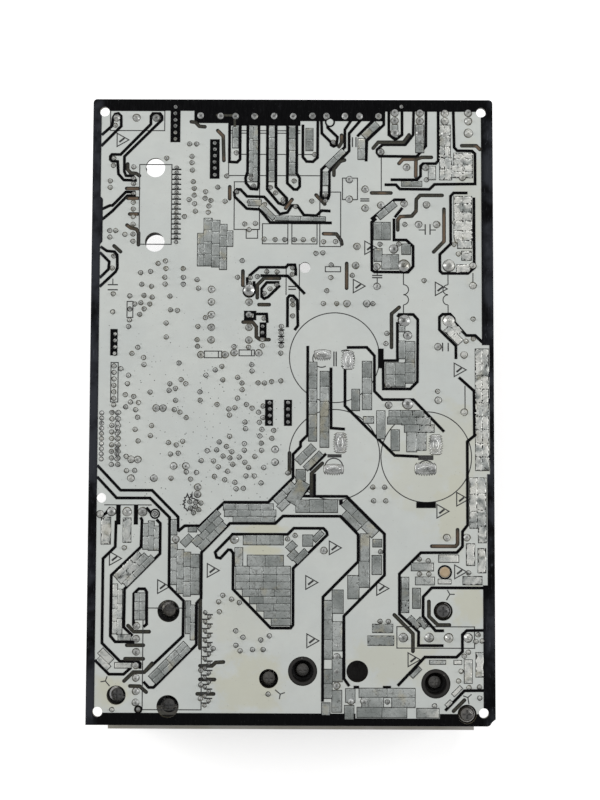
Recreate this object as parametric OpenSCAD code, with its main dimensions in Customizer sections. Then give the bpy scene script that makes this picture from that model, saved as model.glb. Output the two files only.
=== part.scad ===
// Main control board of an outdoor inverter unit, solder side up.
// Places on the board are measured from its lower left corner, seen on the solder side,
// on a layout grid as large as the standard board. They spread with the board.

/* [Board] */
// Width of the circuit board
board_w = 158; // [150:1:175]
// Length of the circuit board
board_h = 245; // [235:1:260]
// Thickness of the glass-fibre sheet
board_t = 1.6; // [1.2:0.1:2.4]
// Radius of the two top corners
board_corner_r = 1.5; // [0.5:0.5:3]
// Size of the piece broken off the lower right corner
chip_size = 3; // [1:0.5:5]

/* [Mounting holes] */
// Diameter of the corner holes
mount_hole_d = 3.8; // [3.2:0.1:4.4]
// Distance of the corner holes from the side edges
mount_inset_x = 4.5; // [4:0.1:5.5]
// Distance of the corner holes from the top and bottom edges
mount_inset_y = 5; // [4:0.1:6]
// Diameter of the hole in the middle of the board
centre_hole_d = 4.3; // [3:0.1:5]

/* [Access holes] */
// Diameter of the two screw holes over the compressor drive module
module_access_d = 8.6; // [7.6:0.2:9]
// Diameter of the two holes beside the fan drive module
fan_access_d = 7.7; // [6:0.1:8]
// Diameter of the two holes that take the holder's collars
collar_access_d = 11.3; // [11:0.1:12]
// Diameter of the screw hole over the boost diode
diode_access_d = 8.4; // [7.6:0.2:9]
// Diameter of the holes over the fixing screws
fixing_access_d = 7.4; // [7:0.2:8]

/* [Printed guard lines] */
// Width of a guard line
guard_w = 1.1; // [0.6:0.1:1.4]
// Height of the thick black print
print_h = 0.12; // [0.08:0.02:0.2]

/* [Routed slots] */
// Width of the routed slots
slot_w = 1.5; // [1:0.1:1.8]

/* [Solder] */
// Height of the solder bricks on the power tracks
brick_h = 0.4; // [0.2:0.05:0.8]
// Gap between two solder bricks in a run
brick_gap = 0.45; // [0.2:0.05:0.8]
// Radius of a small solder joint
joint_r = 1; // [0.7:0.05:1.1]
// Height of a small solder joint
joint_h = 0.9; // [0.5:0.1:1.4]
// Length of the lead that stands out of a joint
lead_out = 0.6; // [0.3:0.1:1.2]

/* [Heat sink] */
// Width of the heat sink
sink_w = 144; // [140:1:148]
// Length of the heat sink along its fins
sink_l = 66; // [64:1:72]
// How far the heat sink stands out past the board's edge
sink_out = 3.2; // [1:0.2:6]
// Space between the board and the face of the heat sink
sink_gap = 11; // [10:0.5:14]
// Thickness of the heat sink's base
sink_base_t = 7; // [5:0.5:10]
// Depth of everything below the board
depth = 50; // [46:1:60]
// Thickness of one fin
fin_t = 1.6; // [1.2:0.1:2.4]
// Number of fins
fin_count = 19; // [12:1:22]

/* [Power devices] */
// Width of the compressor drive module
module_w = 24; // [20:1:26]
// Length of the compressor drive module
module_l = 38; // [30:1:40]
// Thickness of the compressor drive module
module_t = 5.5; // [4:0.5:7]
// Thickness of the bridge rectifier
bridge_t = 4.6; // [3.6:0.2:6]
// Thickness of the boost transistor and diode
device_t = 4.8; // [4:0.2:6]
// Diameter of the heads of the heat sink screws
screw_head_d = 6.2; // [5:0.2:7]
// Height of the heads of the heat sink screws
screw_head_h = 2.4; // [1.6:0.2:3.6]
// Diameter of the shanks of the heat sink screws
screw_d = 3; // [2.5:0.1:3.2]
// Depth of the threaded holes in the heat sink
screw_depth = 6; // [4:0.5:6.5]

/* [Holder] */
// Thickness of the plastic holder's plate
holder_t = 2; // [1.5:0.1:3]
// Outer diameter of the holder's collars
collar_d = 10.8; // [10:0.1:10.9]
// Wall of the holder's collars
collar_wall = 1.1; // [0.8:0.1:1.4]

/* [Large parts] */
// Diameter of the bulk capacitors
bulk_d = 35; // [30:0.5:35.2]
// Height of the terminal block
block_h = 21; // [16:1:26]
// Depth of the terminal block from front to back
block_l = 19; // [16:0.5:19]
// Outer diameter of the choke's ring core
choke_d = 24; // [20:1:25]
// Height of the choke's ring core
choke_h = 11; // [8:1:16]
// Height of the main relay
relay_h = 22; // [16:1:30]
// Height of the four small relays
small_relay_h = 15.5; // [12:0.5:20]
// Height of the transformer
transformer_h = 22; // [18:1:30]
// Height of the fan drive module
fan_module_h = 6; // [4:0.5:9]

/* [Small parts] */
// Height of the small radial parts
small_h = 7; // [5:0.5:9]
// Thickness of the small radial parts
small_t = 1.7; // [1:0.1:1.8]
// Diameter of the leads below the board
lead_d = 0.6; // [0.5:0.05:0.8]
// Height of the leads between the board and the part
lead_h = 1; // [0.6:0.1:1.6]

/* [Hidden] */

// Layout grid that spans the board, whatever its size: the count of its columns and rows
grid_columns = 158;
grid_rows = 245;
// Smoothness of round forms
round_n = 48;
small_n = 20;
// Clearance between pieces that only lie side by side
gap = 0.3;
// A cut starts this far outside what it cuts
over = 1;
// Pitch of the signal pins
pin_pitch = 2.54;
// Height of the solder side
top = board_t;
// Face of the heat sink and the bottom of everything
sink_z = -sink_gap;
bottom_z = -depth;

// Place on the board of a point on the layout grid
function spot(p) = [p[0] * board_w / grid_columns - board_w / 2, p[1] * board_h / grid_rows - board_h / 2];
function spots(list) = [for (p = list) spot(p)];

// Mitred edge of a line of width w that runs along a path
function unit(v) = v / norm(v);
function to_left(v) = [-v[1], v[0]];
function edge_point(p, i, d) =
    let (n = len(p) - 1,
         ahead = unit(p[min(i + 1, n)] - p[min(i, n - 1)]),
         behind = unit(p[max(i, 1)] - p[max(i - 1, 0)]),
         m = to_left(ahead) + to_left(behind))
    p[i] + m * (2 * d / (m * m));
function line_outline(p, w) = concat(
    [for (i = [0 : len(p) - 1]) edge_point(p, i, w / 2)],
    [for (i = [len(p) - 1 : -1 : 0]) edge_point(p, i, -w / 2)]);

// Moves a shape to height z over a place on the layout grid
module place(p, z) {
    c = spot(p);
    translate([c[0], c[1], z]) children();
}

// Flat line with mitred corners along a path on the layout grid
module line(path, w) {
    polygon(line_outline(spots(path), w));
}

// Flat groove with round ends along a path on the layout grid
module groove(path, w) {
    p = spots(path);
    for (c = p)
        translate(c) circle(d = w, $fn = small_n);
    for (i = [0 : len(p) - 2])
        let (v = p[i + 1] - p[i])
        translate(p[i]) rotate(atan2(v[1], v[0])) translate([0, -w / 2]) square([norm(v), w]);
}

// Rectangle between two corners on the layout grid
module field(x0, y0, x1, y1) {
    polygon(spots([[x0, y0], [x1, y0], [x1, y1], [x0, y1]]));
}

// Box with its top face at height z, centred on a place on the layout grid
module hanging_box(p, size, z) {
    place(p, z - size[2]) translate([-size[0] / 2, -size[1] / 2, 0]) cube(size);
}

// ---------------------------------------------------------------- holes

// Centres of the corner holes
mount_half = [board_w / 2 - mount_inset_x, board_h / 2 - mount_inset_y];
// Other holes on the layout grid
side_hole = [5, 87.3];
centre_hole = [84, 178];
fan_holes = [[24.8, 217.6], [24.8, 187.9]];
module_holes = [[31.6, 43.7], [31.6, 7.2]];
collar_holes = [[83.6, 20.8], [135, 16.2]];
diode_hole = [104.7, 20.8];
fixing_holes = [[11.7, 11.4], [70.5, 17.9], [137.9, 44], [147, 4.6]];
peg_hole = [138.6, 59];
peg_d = 4.2;

// Routed slots that keep mains, bus and signal copper apart
fan_slots = [
    [[13.8, 219], [13.8, 216.8], [15, 215.4], [17.2, 215.2], [18.5, 214.3]],
    [[13.5, 209.2], [18.2, 209.2]], [[14, 205.3], [18, 205.3]], [[14.8, 199], [18, 199]],
    [[13.8, 194.6], [15.3, 193.5], [17.5, 193], [18.4, 191.5], [18.4, 186.8]],
    [[8.8, 186.3], [11.4, 184]]
];
relay_slots = [
    [[38.8, 236], [40.5, 235.8], [42, 234.2], [44.2, 234]],
    [[49.3, 232.5], [51.5, 230.3], [51.8, 220.5]],
    [[98.3, 230.8], [98.3, 227.8], [97.3, 226.2]],
    [[99.5, 220.8], [97.8, 220.3], [95.3, 217.2], [95.3, 214.7]],
    [[54.2, 210], [54.2, 205.2]], [[78.8, 205], [76.3, 201.5]], [[88.3, 206.8], [91.7, 203.2]],
    [[91.3, 191.4], [96.3, 191.3], [98.2, 188.7], [98.5, 187.3]], [[100.4, 169.8], [100.4, 179.6]]
];
mains_slots = [
    [[110.8, 225.6], [112.8, 228], [122.8, 228], [125, 231]],
    [[121, 219.5], [122.5, 221.2], [128, 221.3], [130, 222], [133.8, 222]],
    [[127.7, 221], [127.6, 214.3]], [[145.8, 226.7], [151.5, 226.7], [153, 225.2]],
    [[110.2, 207.7], [117.8, 207.7]],
    [[138, 206.8], [129.3, 206.8], [127.8, 205.2], [127.7, 200.5], [126, 198.5], [121.5, 198.3],
     [120.5, 197], [120.5, 193]],
    [[138.7, 201.3], [138.7, 188.5], [134.6, 184.3]], [[118, 146.5], [118, 159.7], [121, 162.3]]
];
supply_slots = [
    [[65.3, 165.9], [65.3, 171], [68, 173.7], [74, 173.6]], [[59.6, 170.8], [59.6, 176.5]],
    [[66, 163.2], [70, 163.2]],
    [[59.8, 156.3], [63.5, 156.3], [65, 154.5], [65, 150.5], [66.5, 149.4], [70, 149.4]]
];
bus_slots = [
    [[78.2, 105], [78.2, 97.2]], [[91, 101], [86.8, 97], [86.8, 88.6]],
    [[133.6, 69], [142.8, 69], [143.6, 69.9], [143.6, 75.4]]
];
drive_slots = [
    [[16, 38], [18.2, 35.7], [24.2, 35.7]], [[15.6, 30.5], [22, 30.5]], [[15, 25.3], [22, 25.3]],
    [[14.7, 16.8], [18.2, 20.2], [22.5, 20.2], [25.5, 23.6]],
    [[17, 14.9], [20.8, 14.8], [23.3, 12.6]], [[43.9, 29.5], [43.9, 47.8]],
    [[44, 22.7], [48.6, 22.7], [50, 24], [53, 24.2]], [[44, 17.5], [49.6, 17.5]],
    [[43, 12], [49.3, 12]],
    [[119, 42.5], [126.2, 35.3], [126.2, 28.6]],
    [[132.4, 47.7], [132.4, 42], [135.8, 38.7], [140.3, 38.7]], [[146, 10], [141.8, 5.8]]
];
slots = concat(fan_slots, relay_slots, mains_slots, supply_slots, bus_slots, drive_slots);

// Outline of the sheet: round top corners, and the lower right corner broken off
module sheet_outline() {
    difference() {
        union() {
            translate([-board_w / 2, -board_h / 2])
                square([board_w, board_h - board_corner_r]);
            translate([-board_w / 2 + board_corner_r, -board_h / 2])
                square([board_w - 2 * board_corner_r, board_h]);
            for (side = [-1, 1])
                translate([side * (board_w / 2 - board_corner_r), board_h / 2 - board_corner_r])
                    circle(board_corner_r, $fn = small_n);
        }
        translate([board_w / 2, -board_h / 2]) polygon([
            [over, -over], [over, chip_size], [0, chip_size * 0.9], [-chip_size * 0.45, chip_size * 0.55],
            [-chip_size * 0.7, chip_size * 0.15], [-chip_size, 0], [-chip_size, -over]]);
    }
}

// Straight bore through the sheet
module bore(at, d) {
    translate([at[0], at[1], -over]) cylinder(h = board_t + 2 * over, d = d, $fn = round_n);
}

module circuit_board() {
    color([0.77, 0.79, 0.77])
    difference() {
        linear_extrude(board_t) offset(delta = 0) difference() {
            sheet_outline();
            for (path = slots) groove(path, slot_w);
        }
        for (sx = [-1, 1], sy = [-1, 1]) bore([sx * mount_half[0], sy * mount_half[1]], mount_hole_d);
        bore(spot(side_hole), mount_hole_d);
        bore(spot(centre_hole), centre_hole_d);
        bore(spot(peg_hole), peg_d);
        for (p = fan_holes) bore(spot(p), fan_access_d);
        for (p = module_holes) bore(spot(p), module_access_d);
        for (p = collar_holes) bore(spot(p), collar_access_d);
        for (p = fixing_holes) bore(spot(p), fixing_access_d);
        bore(spot(diode_hole), diode_access_d);
    }
}

// ---------------------------------------------------------------- black print

// White area inside the black rim, clockwise from the lower left
white_area = [
    [3.3, 4.7], [3.3, 187], [4.2, 188], [4.2, 205], [3.3, 206], [3.3, 240.4], [40, 240.4],
    [40, 235.5], [53.5, 235.5], [53.5, 234.5], [82, 234.5], [82, 236.4], [115, 236.4],
    [115, 240.3], [153.4, 240.3], [153.4, 147.5], [156.3, 147.5], [156.3, 97], [155.2, 97],
    [155.2, 54], [153.4, 54], [153.4, 4.7], [136.5, 4.7], [136.5, 2.9], [104, 2.9], [104, 4.7]
];
// Tabs of the rim between the solder patches at the right edge
rim_tabs = [[153, 135], [153, 124.5], [153, 102.5]];
rim_tab_size = [4, 2];

// Guard lines round the fan drive and its connector
fan_guards = [
    [[3.4, 230.6], [7.5, 234.3], [7.8, 237.5], [8.6, 239], [9.9, 239.3], [11, 238.2], [11.1, 234.2],
     [3.3, 226.2]],
    [[16.5, 214.2], [13.2, 214.3], [12.5, 216], [12.5, 222], [27.2, 236.8], [27.2, 238.2],
     [26.3, 239.3], [23.6, 239.3], [22.8, 238.2], [22.8, 235], [11, 222.8], [7.5, 222.8],
     [6.9, 222], [6.9, 220.8], [7.6, 220.1], [9.8, 220], [10.2, 215], [12.3, 212.6], [17.5, 212.4]],
    [[4, 201], [7, 202.4], [8, 202.4], [13.2, 207.8], [17, 207.8]],
    [[17.2, 206.3], [13.8, 206.3], [8, 200.2], [4, 196.8]],
    [[3.5, 186], [6, 184.3], [9, 184], [10.1, 182.7], [10.2, 177.5], [9.5, 176], [3.3, 170.1]],
    [[3.3, 183.7], [7, 180], [6.7, 177], [3.3, 173.6]]
];
// Guard lines round the relay tracks
relay_guards = [
    [[54, 235], [54, 220], [57, 219.8], [58.2, 221], [58.2, 235]],
    [[61.2, 235], [61.2, 216], [60.4, 213.5], [60.6, 211.5], [62.5, 209.2], [65, 209], [65.6, 210.5],
     [65.6, 235]],
    [[69, 235], [69, 209], [73.5, 203.5], [75.5, 202.8], [76.8, 204.2], [76.7, 205.5], [72.4, 210],
     [72.4, 235]],
    [[76.9, 235], [76.9, 211.5], [79.5, 209], [80.8, 209], [81.8, 210.2], [81.8, 213.5],
     [80.6, 215.5], [80.6, 235]],
    [[83, 235], [83, 222], [84.5, 220.2], [87, 220.1], [88.8, 221.8], [88.9, 237]],
    [[90.3, 237], [90.5, 231.5], [94, 228], [94.2, 226.8], [95.2, 226.3], [96.3, 226.8],
     [96.7, 230], [92.8, 233.8], [92.5, 237]],
    [[102.2, 237], [99.6, 233], [99.6, 226], [90.4, 217], [90.3, 206.2], [91.5, 205.2], [93, 205.4],
     [93.5, 207], [93.5, 216.2], [101.3, 224.5], [101.3, 231.5], [106, 237]],
    [[115, 240.5], [115, 235], [108.3, 228.6], [108, 220.3]],
    [[111, 237], [104.5, 230.3]],
    [[94, 200.4], [90.5, 200.6], [88.5, 198.6], [83.5, 198.8], [80.8, 202.6], [78.7, 202.6],
     [77, 199.8], [74, 199.2], [67.8, 206], [61, 206.2], [58.5, 208.9], [57, 209], [56, 207.8],
     [56.2, 206], [61, 201.3], [66, 201], [70.3, 195.8], [94.5, 195.7]]
];
// Guard lines of the four mains terminals and the filter behind them
mains_guards = [
    [[117, 240.5], [117, 231], [119.6, 229], [122.2, 231], [122.2, 240.5]],
    [[126.8, 240.5], [126.6, 231], [123.5, 227], [114.5, 227], [112.3, 225], [112.3, 223.8],
     [113.3, 222.4], [128, 222.3], [131.6, 226.5], [131.7, 240.5]],
    [[136.5, 240.5], [136.5, 220.6], [135.5, 219.5], [130.5, 219.5], [129.5, 218.5], [129.5, 214.5],
     [128, 213], [117.7, 213]],
    [[142.5, 240.5], [142.8, 226], [144, 224.7], [149.8, 224.6], [151, 223.5], [151, 211.4],
     [135, 211.2], [133, 209.2], [121.3, 209.3], [119.8, 211], [115.3, 211]],
    [[110, 197.2], [119.2, 205], [123.5, 205]], [[119.3, 198], [122.3, 201.8]],
    [[112, 197.5], [110.2, 196], [110.3, 177], [111.3, 176.3], [124.5, 176.2], [126.5, 178.5],
     [126.5, 186.5], [123.8, 189], [119, 189], [119, 197.5]],
    [[148, 207.8], [142.5, 207.8], [141.3, 206.5], [141.3, 187.5], [137, 183.3], [137, 176.8],
     [138, 175.8], [148, 175.8], [150.5, 178], [150.5, 206]],
    [[120.3, 156.5], [120.3, 141.3], [114.7, 141.3], [114.8, 130.2], [125.3, 130.2], [128.1, 133],
     [128.3, 157.5], [126.5, 159.5], [121, 159.5], [120.3, 158.5]],
    [[143.2, 142], [143.2, 147.2], [136.8, 153.5], [136.8, 158.5], [138, 159.6], [141, 159.7],
     [142.5, 158], [142.7, 156.5], [147.3, 151.3], [150.8, 151.3], [153.6, 148.6]]
];
// Guard lines of the supply
supply_guards = [
    [[66.5, 174.7], [77.2, 174.6], [84, 167.5]],
    [[62, 174.5], [66, 178], [76.5, 178], [77.3, 179], [80, 179], [80.3, 177.5], [80.4, 174.7]],
    [[61.4, 171], [61.3, 174]], [[64.1, 168], [64, 172.5]],
    [[74.2, 170.8], [69.5, 166.2], [68, 165.6], [67, 166.4], [67, 169.5], [69, 172], [74, 172]],
    [[77.2, 154.3], [77.2, 165.8], [78, 166.8], [79.5, 166.7], [81, 165], [81.3, 155], [80, 153.2]],
    [[60.7, 157.6], [60.7, 160.2], [64.4, 160.2], [64.4, 157.3]], [[60.15, 157.6], [64.95, 157.6]],
    [[64.4, 159.5], [69, 159.5], [69.3, 156]]
];
// Guard lines of the direct-current bus between the capacitors and the drives
bus_guards = [
    [[85.2, 147], [85.2, 112], [82.5, 109.3], [82.5, 107.5], [79.6, 104.5], [79.6, 95.3],
     [70, 85.8], [53, 85.8], [43.5, 76.6], [37.6, 76.6], [35, 74.4]],
    [[94.3, 138.5], [94.4, 114.8], [99.8, 114.4]], [[92.5, 104.8], [86, 98.3]],
    [[100.5, 146.4], [108.3, 146.5], [111.3, 143.2], [111.3, 129.3], [114.5, 126], [126.5, 126],
     [138.5, 113.5]],
    [[99.8, 138.5], [99.8, 123.5], [119.2, 104.2], [128.5, 103.8]],
    [[144.3, 134.8], [150.2, 129.5], [150.3, 112], [147.5, 109.7], [147.5, 77.2], [145.5, 74.7],
     [145.5, 69], [143.3, 66.6], [129.3, 66.5], [121, 58.3], [121, 42.8], [128.4, 36],
     [128.3, 30.8], [138, 30.8]],
    [[3.3, 100], [12.5, 90.3], [24.8, 90.3], [35, 80], [35, 74.4]],
    [[3.3, 95.5], [11, 87.3], [24, 87.3], [31.7, 79.8], [31.7, 53.2], [37.4, 47.6], [37.3, 34.1],
     [22.7, 20.2]],
    [[22.2, 16.6], [24.2, 14.4], [26.1, 14.4], [42.5, 30.8], [42.5, 46.8], [44.2, 48.6],
     [44.2, 66.3], [55.2, 77.6], [72.8, 77.6], [75.8, 80.5], [98, 80.5], [105, 73.4], [105, 63],
     [91.4, 49.3], [91.3, 9.2]],
    [[88, 97], [88, 88.2], [100.5, 88.2], [115.2, 73.7], [115.2, 57.8], [99.5, 42], [99.6, 18],
     [101.6, 15.2]],
    [[86.2, 91.8], [83, 88.3], [88, 88.2]],
    [[56.3, 73.4], [49.5, 66.4], [50.1, 64.4], [51.6, 64.1], [54.6, 67.4], [55.6, 67.3],
     [56.5, 66], [56.5, 52.2], [71.2, 37.3], [78.9, 37.3], [79.8, 38.5], [79.8, 60.3], [93, 73.3],
     [92.8, 74.4], [91.5, 75.8], [80, 75.8], [77.6, 73.4], [76, 73.4]],
    [[55.8, 73.4], [77, 73.4]]
];
// Guard lines of the motor outputs and the lower right power inputs
motor_guards = [
    [[10.9, 78.5], [10.7, 68.4], [6, 63.8], [6, 31.3], [13, 24.4], [20.2, 24.2], [20.9, 23.5],
     [20.8, 21.5]],
    [[24.6, 81.3], [22.6, 83.6]], [[4.6, 79.8], [7, 81.4], [8.7, 83.6]],
    [[20.4, 79.8], [21, 78.7], [20.7, 68.4], [9.3, 57.4], [9.2, 34], [11.1, 31.8], [18.6, 31.8]],
    [[26.6, 79], [28.1, 77.5], [28.1, 65.8], [14.5, 52.1], [14.4, 37.4], [17.8, 34.1]],
    [[18.1, 38], [18.1, 50.3], [20, 52.2], [22.3, 52.2], [23.1, 51], [23.2, 38.6], [22, 37.6]],
    [[3.3, 24.8], [8.8, 19.4], [14.5, 19.4], [17.4, 22]],
    [[153.6, 53], [133.5, 53], [130.2, 49.5], [130.1, 42], [134.9, 36.5], [138.2, 36.5]],
    [[120.3, 15.4], [130.8, 26.4], [143, 26.4], [145.3, 28.5], [145.3, 35], [147, 36.6],
     [153.6, 36.7]],
    [[138.6, 6], [146, 13.6], [153.6, 13.7]],
    [[114.6, 14.8], [117.7, 14.8]], [[103.3, 14.8], [105.4, 14.8]]
];
guards = concat(fan_guards, relay_guards, mains_guards, supply_guards, bus_guards, motor_guards);

// Solid black fields: under the headers, between motor pins, polarity and locating marks
black_fields = [
    [30.6, 227.8, 34.5, 243.2], [46.3, 213.2, 50.1, 229], [68.6, 115.6, 71.7, 125.8],
    [76, 115.6, 79.1, 125.8], [7.8, 143, 10.6, 153.4], [10.9, 77, 12.6, 84.6],
    [17.8, 77, 19.4, 84.6], [127.6, 83.8, 135.2, 86.1], [66.3, 149.2, 69, 156.2],
    [112.7, 138.3, 114.9, 146], [97.6, 84.9, 99, 86.8]
];
// Bars between the fine pins of the fan drive, and between the controller's pins
bar_w = 0.5;
fan_bars = [for (i = [0 : 14]) [31.4, 188.9 + 1.98 * i, 35, 188.9 + 1.98 * i + bar_w]];
controller_bars = [for (i = [0 : 2]) [73.6, 148 + 2.5 * i, 76, 148 + 2.5 * i + bar_w]];
// Black rings round single holes and pads
ring_w = 0.6;
rings = [[20.3, 6, 1], [26, 81.2, 1.4], [138.6, 59, 2.2], [62.1, 168.5, 2], [93.7, 236, 1.4]];

module guard_print() {
    color([0.05, 0.05, 0.05])
    difference() {
        translate([0, 0, top]) linear_extrude(print_h) offset(delta = 0) difference() {
            union() {
                difference() {
                    sheet_outline();
                    polygon(spots(white_area));
                }
                for (p = rim_tabs) translate(spot(p)) square(rim_tab_size);
                for (path = guards) line(path, guard_w);
                for (f = concat(black_fields, fan_bars, controller_bars)) field(f[0], f[1], f[2], f[3]);
                for (r = rings) translate(spot([r[0], r[1]])) circle(r[2] + ring_w, $fn = small_n);
            }
            for (path = slots) groove(path, slot_w);
            for (r = rings) translate(spot([r[0], r[1]])) circle(r[2], $fn = small_n);
            for (sx = [-1, 1], sy = [-1, 1])
                translate([sx * mount_half[0], sy * mount_half[1]]) circle(d = mount_hole_d, $fn = round_n);
            for (p = module_holes) translate(spot(p)) circle(d = module_access_d, $fn = round_n);
            for (p = fixing_holes) translate(spot(p)) circle(d = fixing_access_d, $fn = round_n);
        }
    }
}

// ---------------------------------------------------------------- solder on the tracks

// Runs of solder bricks: start x, y, end x, y, width of the run, number of bricks
relay_runs = [
    [56.4, 225.5, 56.4, 234, 1.9, 2], [62.6, 215, 62.6, 234, 1.4, 4], [64.3, 212, 64.3, 234, 1.4, 4],
    [70.7, 212, 70.7, 234, 2, 5], [78.8, 215, 78.8, 234, 2.2, 4], [85.6, 224.5, 85.6, 233.5, 2.4, 2],
    [92, 210.5, 92, 216, 1.9, 1], [92.6, 218, 99.2, 224.6, 1.9, 2], [107.2, 230.4, 112.4, 235.4, 2.4, 2],
    [106.2, 221, 106.2, 229.4, 2.4, 2], [61.5, 203.6, 66.5, 203.6, 2, 1],
    [72.5, 197.5, 92, 197.2, 1.4, 4], [66.5, 202.5, 71.5, 197.6, 1.6, 1]
];
mains_runs = [
    [119.4, 229.8, 119.4, 235, 1.9, 1], [129.2, 223.8, 129.2, 235, 2.8, 3],
    [138, 213, 138, 235, 1.5, 5], [140.1, 213, 140.1, 235, 1.9, 5], [134, 213, 134, 218.4, 2.4, 1],
    [142.6, 222.6, 150, 222.6, 1.8, 2], [142.6, 220.2, 150, 220.2, 1.8, 2],
    [142.2, 217.6, 150, 217.6, 1.8, 2], [142.2, 215, 150, 215, 1.8, 2], [122, 211.4, 130, 211.4, 1.6, 2],
    [112.8, 198, 119.4, 203.6, 2.2, 2], [142.6, 205, 149.6, 205, 2.4, 2],
    [142.6, 201.8, 149.6, 201.8, 2.6, 2], [142.6, 198.4, 149.6, 198.4, 2.6, 2],
    [142.6, 194.6, 149.8, 194.6, 3, 2], [142.6, 190.8, 149.8, 190.8, 3, 2],
    [144, 187.2, 149.6, 187.2, 2.6, 1], [145.6, 182.8, 149.4, 182.8, 3.2, 1],
    [143.6, 177.7, 148.8, 177.7, 2.6, 1],
    [112.4, 189, 112.4, 196, 2.4, 1], [115.8, 189, 115.8, 196, 3, 1], [112.6, 180.4, 112.6, 185.6, 2.4, 1],
    [116, 177.4, 116, 183.2, 2.6, 1], [119.4, 177.4, 119.4, 183.2, 2.4, 1],
    [123.8, 183.2, 123.8, 187.4, 3, 1],
    [117.6, 131, 117.6, 140.4, 3.2, 2], [121.2, 131, 121.2, 140.4, 3, 2],
    [125.4, 132.4, 125.4, 148.8, 3, 4], [122, 142, 122, 149, 2.2, 1], [122, 152.6, 122, 155, 2, 1],
    [139.4, 154, 145, 148.4, 2.2, 2], [141.6, 155.8, 145, 152.4, 1.8, 1]
];
bus_runs = [
    [87.2, 109.6, 87.2, 140.6, 2.8, 6], [91.8, 107.2, 91.8, 137, 3, 5],
    [87.6, 107.6, 81.4, 101.4, 2.6, 2], [90.6, 105, 84.8, 99.2, 2, 2], [82.6, 98.6, 82.6, 89.2, 3.2, 2],
    [80.6, 84.4, 97, 84.4, 4.6, 3], [99.4, 86, 111.8, 73.6, 3, 3], [99.6, 81.8, 105.6, 75.8, 2.4, 1],
    [107.6, 73.2, 107.6, 53, 3.2, 2], [112.4, 71.6, 112.4, 68.6, 3, 1], [112.2, 65.4, 112.2, 58, 3.2, 1],
    [102.9, 57.6, 102.9, 48.6, 3.4, 1], [97.3, 52, 97.3, 43, 3.4, 1], [93.2, 48, 93.2, 25.4, 2.4, 3],
    [93.2, 21.6, 93.2, 10.4, 2.4, 2], [97.2, 39.8, 97.2, 28.6, 3, 1], [97.2, 25.8, 97.2, 16.8, 3, 1],
    [97, 13.6, 97, 5.2, 3, 1], [92.6, 8.8, 92.6, 4, 2.8, 1], [102, 14.2, 102, 9, 3.2, 1],
    [101.6, 7.8, 101.6, 2.4, 3.2, 1], [105.4, 12.8, 127, 12.8, 2.8, 2], [106.4, 9, 114.8, 9, 2.8, 1],
    [118, 9, 127, 9, 2.8, 1], [104.6, 5, 123.8, 5, 3.2, 2], [127.6, 5, 136.2, 5, 3.2, 1]
];
west_runs = [
    [80, 93.2, 72.8, 86, 2.4, 2], [81, 89.8, 74.4, 83.2, 2.2, 2], [72, 84, 52.6, 84, 2, 4],
    [73, 81.5, 53, 81.5, 2, 4], [72.6, 79.1, 56.4, 79.1, 1.8, 3],
    [50.8, 82, 43.4, 74.6, 2, 2], [51.6, 79.6, 41.4, 69.4, 2.2, 4], [53.2, 77.4, 43.6, 67.8, 2.2, 3],
    [41.8, 75.2, 39, 75.2, 1.6, 1], [40, 72.6, 36.8, 69.4, 2, 1],
    [33.4, 79, 33.4, 73, 2, 1], [33.4, 69.6, 33.4, 53.8, 2, 3],
    [36, 67.4, 36, 50.4, 2, 3], [38.6, 66.4, 38.6, 49.4, 2, 3], [41.8, 65.6, 41.8, 50, 2.8, 3],
    [39.2, 47.6, 39.2, 35, 1.5, 2], [41, 46, 41, 32.6, 1.3, 2],
    [38.2, 31.4, 24.8, 18, 1.5, 4], [39.8, 29.6, 26.4, 16.2, 1.4, 4]
];
motor_runs = [
    [22.4, 77.4, 22.4, 67.4, 1.7, 2], [24.6, 78.4, 24.6, 67, 1.7, 2], [26.7, 76.4, 26.7, 67, 1.5, 2],
    [20.2, 66, 10.8, 56.6, 1.8, 3], [22.8, 65.2, 12.4, 54.8, 1.8, 3], [25.4, 64.4, 14.6, 53.6, 1.8, 3],
    [10.8, 54, 10.8, 34.8, 1.5, 4], [12.7, 52, 12.7, 35, 1.5, 3], [12.2, 33.2, 17.2, 33.2, 1.5, 1],
    [5.6, 28.6, 9.8, 24.4, 2, 1], [4.6, 25.4, 8.6, 21.4, 1.4, 1], [11, 22.8, 17.4, 22.8, 1.7, 1],
    [19.4, 50.6, 19.4, 40.2, 1.6, 3], [21.6, 50.6, 21.6, 40.2, 1.6, 3]
];
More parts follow.
